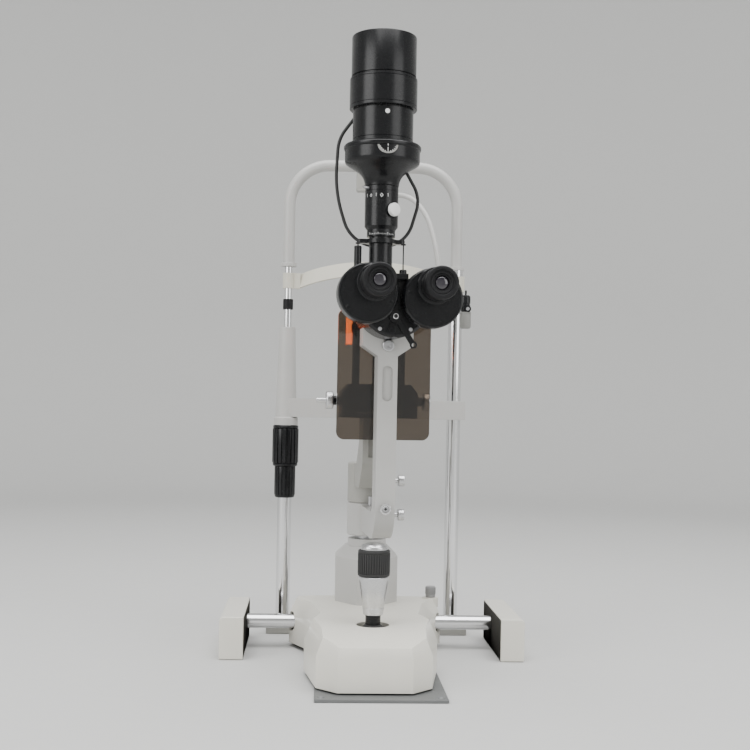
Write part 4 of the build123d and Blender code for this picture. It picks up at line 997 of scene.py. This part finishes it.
@dataclass
class SmallControls:
    """Height knob, base lock screw and the amber flap, whose glow is painted light."""

    def make(self, frame: Frame) -> None:
        """Make the pieces.

        Args:
            frame: The loaded frame.
        """
        post = frame.pivot("chinrest_knob_turn")
        place = Matrix.Translation((post.x, post.y, 0))
        knob = Piece("height_knob_look", "chinrest_knob", Slot.PLASTIC, place, ("height_knob",))
        knob.add(slab(ribs(17.5, 1.5, 18, 0.62), 227.0, 273.6, 1.6), BLACK)
        for low, high, radius in ((273.2, 277.6, 17.0), (223.0, 227.4, 16.6)):
            knob.add(lathe([(9.6, low), (radius - 1.0, low), (radius, low + 1.0), (radius, high - 1.0),
                            (radius - 1.0, high), (9.6, high)]), BLACK)
        knob.add(slab(ribs(14.0, 0.9, 18, 0.62), 184.0, 223.2, 1.2), BLACK)
        knob.add(lathe([(9.6, 181.0), (12.2, 181.0), (13.2, 182.0), (13.4, 184.6), (9.6, 184.8)]), BLACK)
        knob.finish()
        lock = frame.pivot("base_lock_turn")
        thumb = Piece("base_lock_look", "base_lock", Slot.KNOB, Matrix.Translation((lock.x, lock.y, 0)),
                      ("base_lock_knob",))
        thumb.add(slab(ribs(6.75, 0.5, 26, 0.5), 66.0, 75.0, 0.5, 2), KNOB_GREY)
        thumb.add(lathe([(0, 44.0), (3.0, 44.0), (3.0, 62.3), (5.6, 62.3), (6.2, 63.0), (6.2, 66.4),
                         (0, 66.6)]),
                  KNOB_GREY)
        thumb.add(lathe([(0, 74.6), (6.0, 74.6), (6.0, 75.4), (5.4, 76.0), (0, 76.0)]), KNOB_GREY)
        thumb.finish()
        self._fixation(frame)
        # The amber flap glows through emission: painted light, not a lamp.
        flap = Piece("amber_flap", "amber_flap", Slot.AMBER_PAINTED_GLOW, frame.tower(), ("amber_filter",))
        flap.add(block((-40.0, -0.75, 379.0), (-32.5, 0.75, 418.0), 0.2), AMBER_PAINTED_GLOW)
        middle = 398.5
        flap.add(lathe([(4.6, middle - 5), (5.8, middle - 5), (6.2, middle - 4.5), (6.2, middle + 4.5),
                        (5.8, middle + 5), (4.6, middle + 5), (4.6, middle - 5)]), BLACK,
                 Matrix.Translation((-27.5, 0, 0)))
        flap.finish()


    def _fixation(self, frame: Frame) -> None:
        """Swivelling fixation lamp.

        Args:
            frame: The loaded frame.
        """
        middle = frame.pivot("fixation_tilt")
        place = Matrix.Translation((119.0, middle.y, 0))
        lamp = Piece("fixation_lamp_look", "fixation_target", Slot.PLASTIC, place, ("fixation_lamp",))
        lamp.add(lathe([(0, 408.5), (4.8, 408.6), (6.6, 409.6), (7.2, 411.4), (7.2, 427.6), (6.8, 428.0),
                        (7.2, 428.4), (7.2, 429.6), (6.8, 430.0), (0, 430.0)], 48), MID_GREY)
        lamp.add(lathe([(0, 430.0), (5.6, 430.0), (6.2, 431.2), (6.2, 438.6), (5.6, 439.2), (5.6, 441.0),
                        (6.2, 441.6), (6.2, 449.0), (5.4, 451.2), (4.2, 452.0), (0, 452.0)], 48), BLACK)
        lamp.add(lathe([(0, 0.0), (4.1, 0.0), (4.5, 0.5), (4.5, 6.6), (4.1, 7.2), (2.6, 7.5), (2.4, 7.2),
                        (0, 7.2)], 40), BLACK, lying("-y", 2.0, 0, 434.0))
        lamp.add(lathe([(0, 7.2), (2.3, 7.2), (2.3, 7.5), (0, 7.7)], 32), STEEL, lying("-y", 2.0, 0, 434.0))
        lamp.add(lathe([(0, -19.0), (2.0, -19.0), (2.0, -4.0), (0, -4.0)], 32), STEEL,
                 lying("x", 0, 0, middle.z))
        lamp.add(lathe([(0, 451.0), (1.3, 451.0), (1.3, 457.9), (0.8, 458.5), (0, 458.5)], 24), BLACK)
        lamp.add(lathe([(0, 5.9), (3.0, 5.9), (3.0, 6.5), (2.5, 6.8), (0, 6.8)], 32), LENS,
                 lying("y", 0, 0, 441.0))
        lamp.finish()


@dataclass
class Studio:
    """Plain backdrop, soft light and the camera.

    Lengths are in metres.
    """

    eye: tuple[float, float, float] = (-0.076, -1.514, 0.310)
    yaw: float = -2.92
    roll: float = 1.08
    lens: float = 57.6
    shift: float = 0.037

    def make(self) -> None:
        """Build the studio."""
        self._backdrop()
        self._lamp("ceiling", (0.1, -0.5, 2.3), (0, 0, 0.3), 2.4, 92.0)
        self._lamp("window", (-2.0, -1.5, 1.3), (0, 0, 0.35), 1.5, 34.0)
        self._lamp("fill", (1.9, -1.7, 1.1), (0, 0, 0.3), 1.5, 20.0)
        world = bpy.data.worlds.new("studio")
        bpy.context.scene.world = world
        world.use_nodes = True
        background = world.node_tree.nodes["Background"]
        background.inputs["Color"].default_value = (0.86, 0.87, 0.88, 1.0)
        background.inputs["Strength"].default_value = 0.85
        camera = bpy.data.cameras.new("camera")
        camera.lens = self.lens
        camera.shift_y = self.shift
        camera.clip_start = 0.05
        holder = bpy.data.objects.new("camera", camera)
        bpy.context.scene.collection.objects.link(holder)
        holder.matrix_world = (Matrix.Translation(self.eye) @ Matrix.Rotation(math.radians(self.yaw), 4, "Z")
                               @ Matrix.Rotation(math.pi / 2, 4, "X")
                               @ Matrix.Rotation(math.radians(self.roll), 4, "Z"))
        bpy.context.scene.camera = holder

    def _backdrop(self) -> None:
        """Round floor that curves up into a wall."""
        bend = [(2.3 + 0.7 * math.sin(t * math.pi / 20), 0.7 - 0.7 * math.cos(t * math.pi / 20))
                for t in range(11)]
        mesh = lathe([(0.0, -0.0004), (0.6, -0.0004), (2.2, -0.0004)] + bend[1:] + [(3.0, 3.4)], 96)
        data = bpy.data.meshes.new("backdrop")
        for face in mesh.faces:
            face.smooth = True
        mesh.to_mesh(data)
        mesh.free()
        paper = Finish("backdrop paper", (0.56, 0.56, 0.55), (0.54, 0.54, 0.53), 0.8, scale=40.0, bump=0.0)
        data.materials.append(PAINT.material(paper))
        floor = bpy.data.objects.new("backdrop", data)
        bpy.context.scene.collection.objects.link(floor)

    def _lamp(self, name: str, spot: tuple[float, float, float], aim: tuple[float, float, float],
              size: float, power: float) -> None:
        """Soft area light.

        Args:
            name: Its name.
            spot: Where it hangs.
            aim: What it faces.
            size: Side of its square.
            power: Power in watts.
        """
        light = bpy.data.lights.new(name, "AREA")
        light.size = size
        light.energy = power
        item = bpy.data.objects.new(name, light)
        bpy.context.scene.collection.objects.link(item)
        item.location = spot
        item.rotation_euler = (Vector(aim) - Vector(spot)).to_track_quat("-Z", "Y").to_euler()


def main() -> None:
    """Build the look of the whole instrument over the CAD frame."""
    logging.basicConfig(level=logging.INFO, format="%(name)s: %(message)s")
    frame = Frame(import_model())
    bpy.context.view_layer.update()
    assemblies = (
        Bodywork(), Joystick(), LampHead(), SlitControls(),
        Eyepiece(-1, LEFT_SCREW_TURNS), Eyepiece(1, RIGHT_SCREW_TURNS),
        HeadDetails(), SmallControls(),
    )
    for assembly in assemblies:
        LOG.info("making %s", type(assembly).__name__)
        assembly.make(frame)
    Studio().make()


if __name__ == "__main__":
    main()
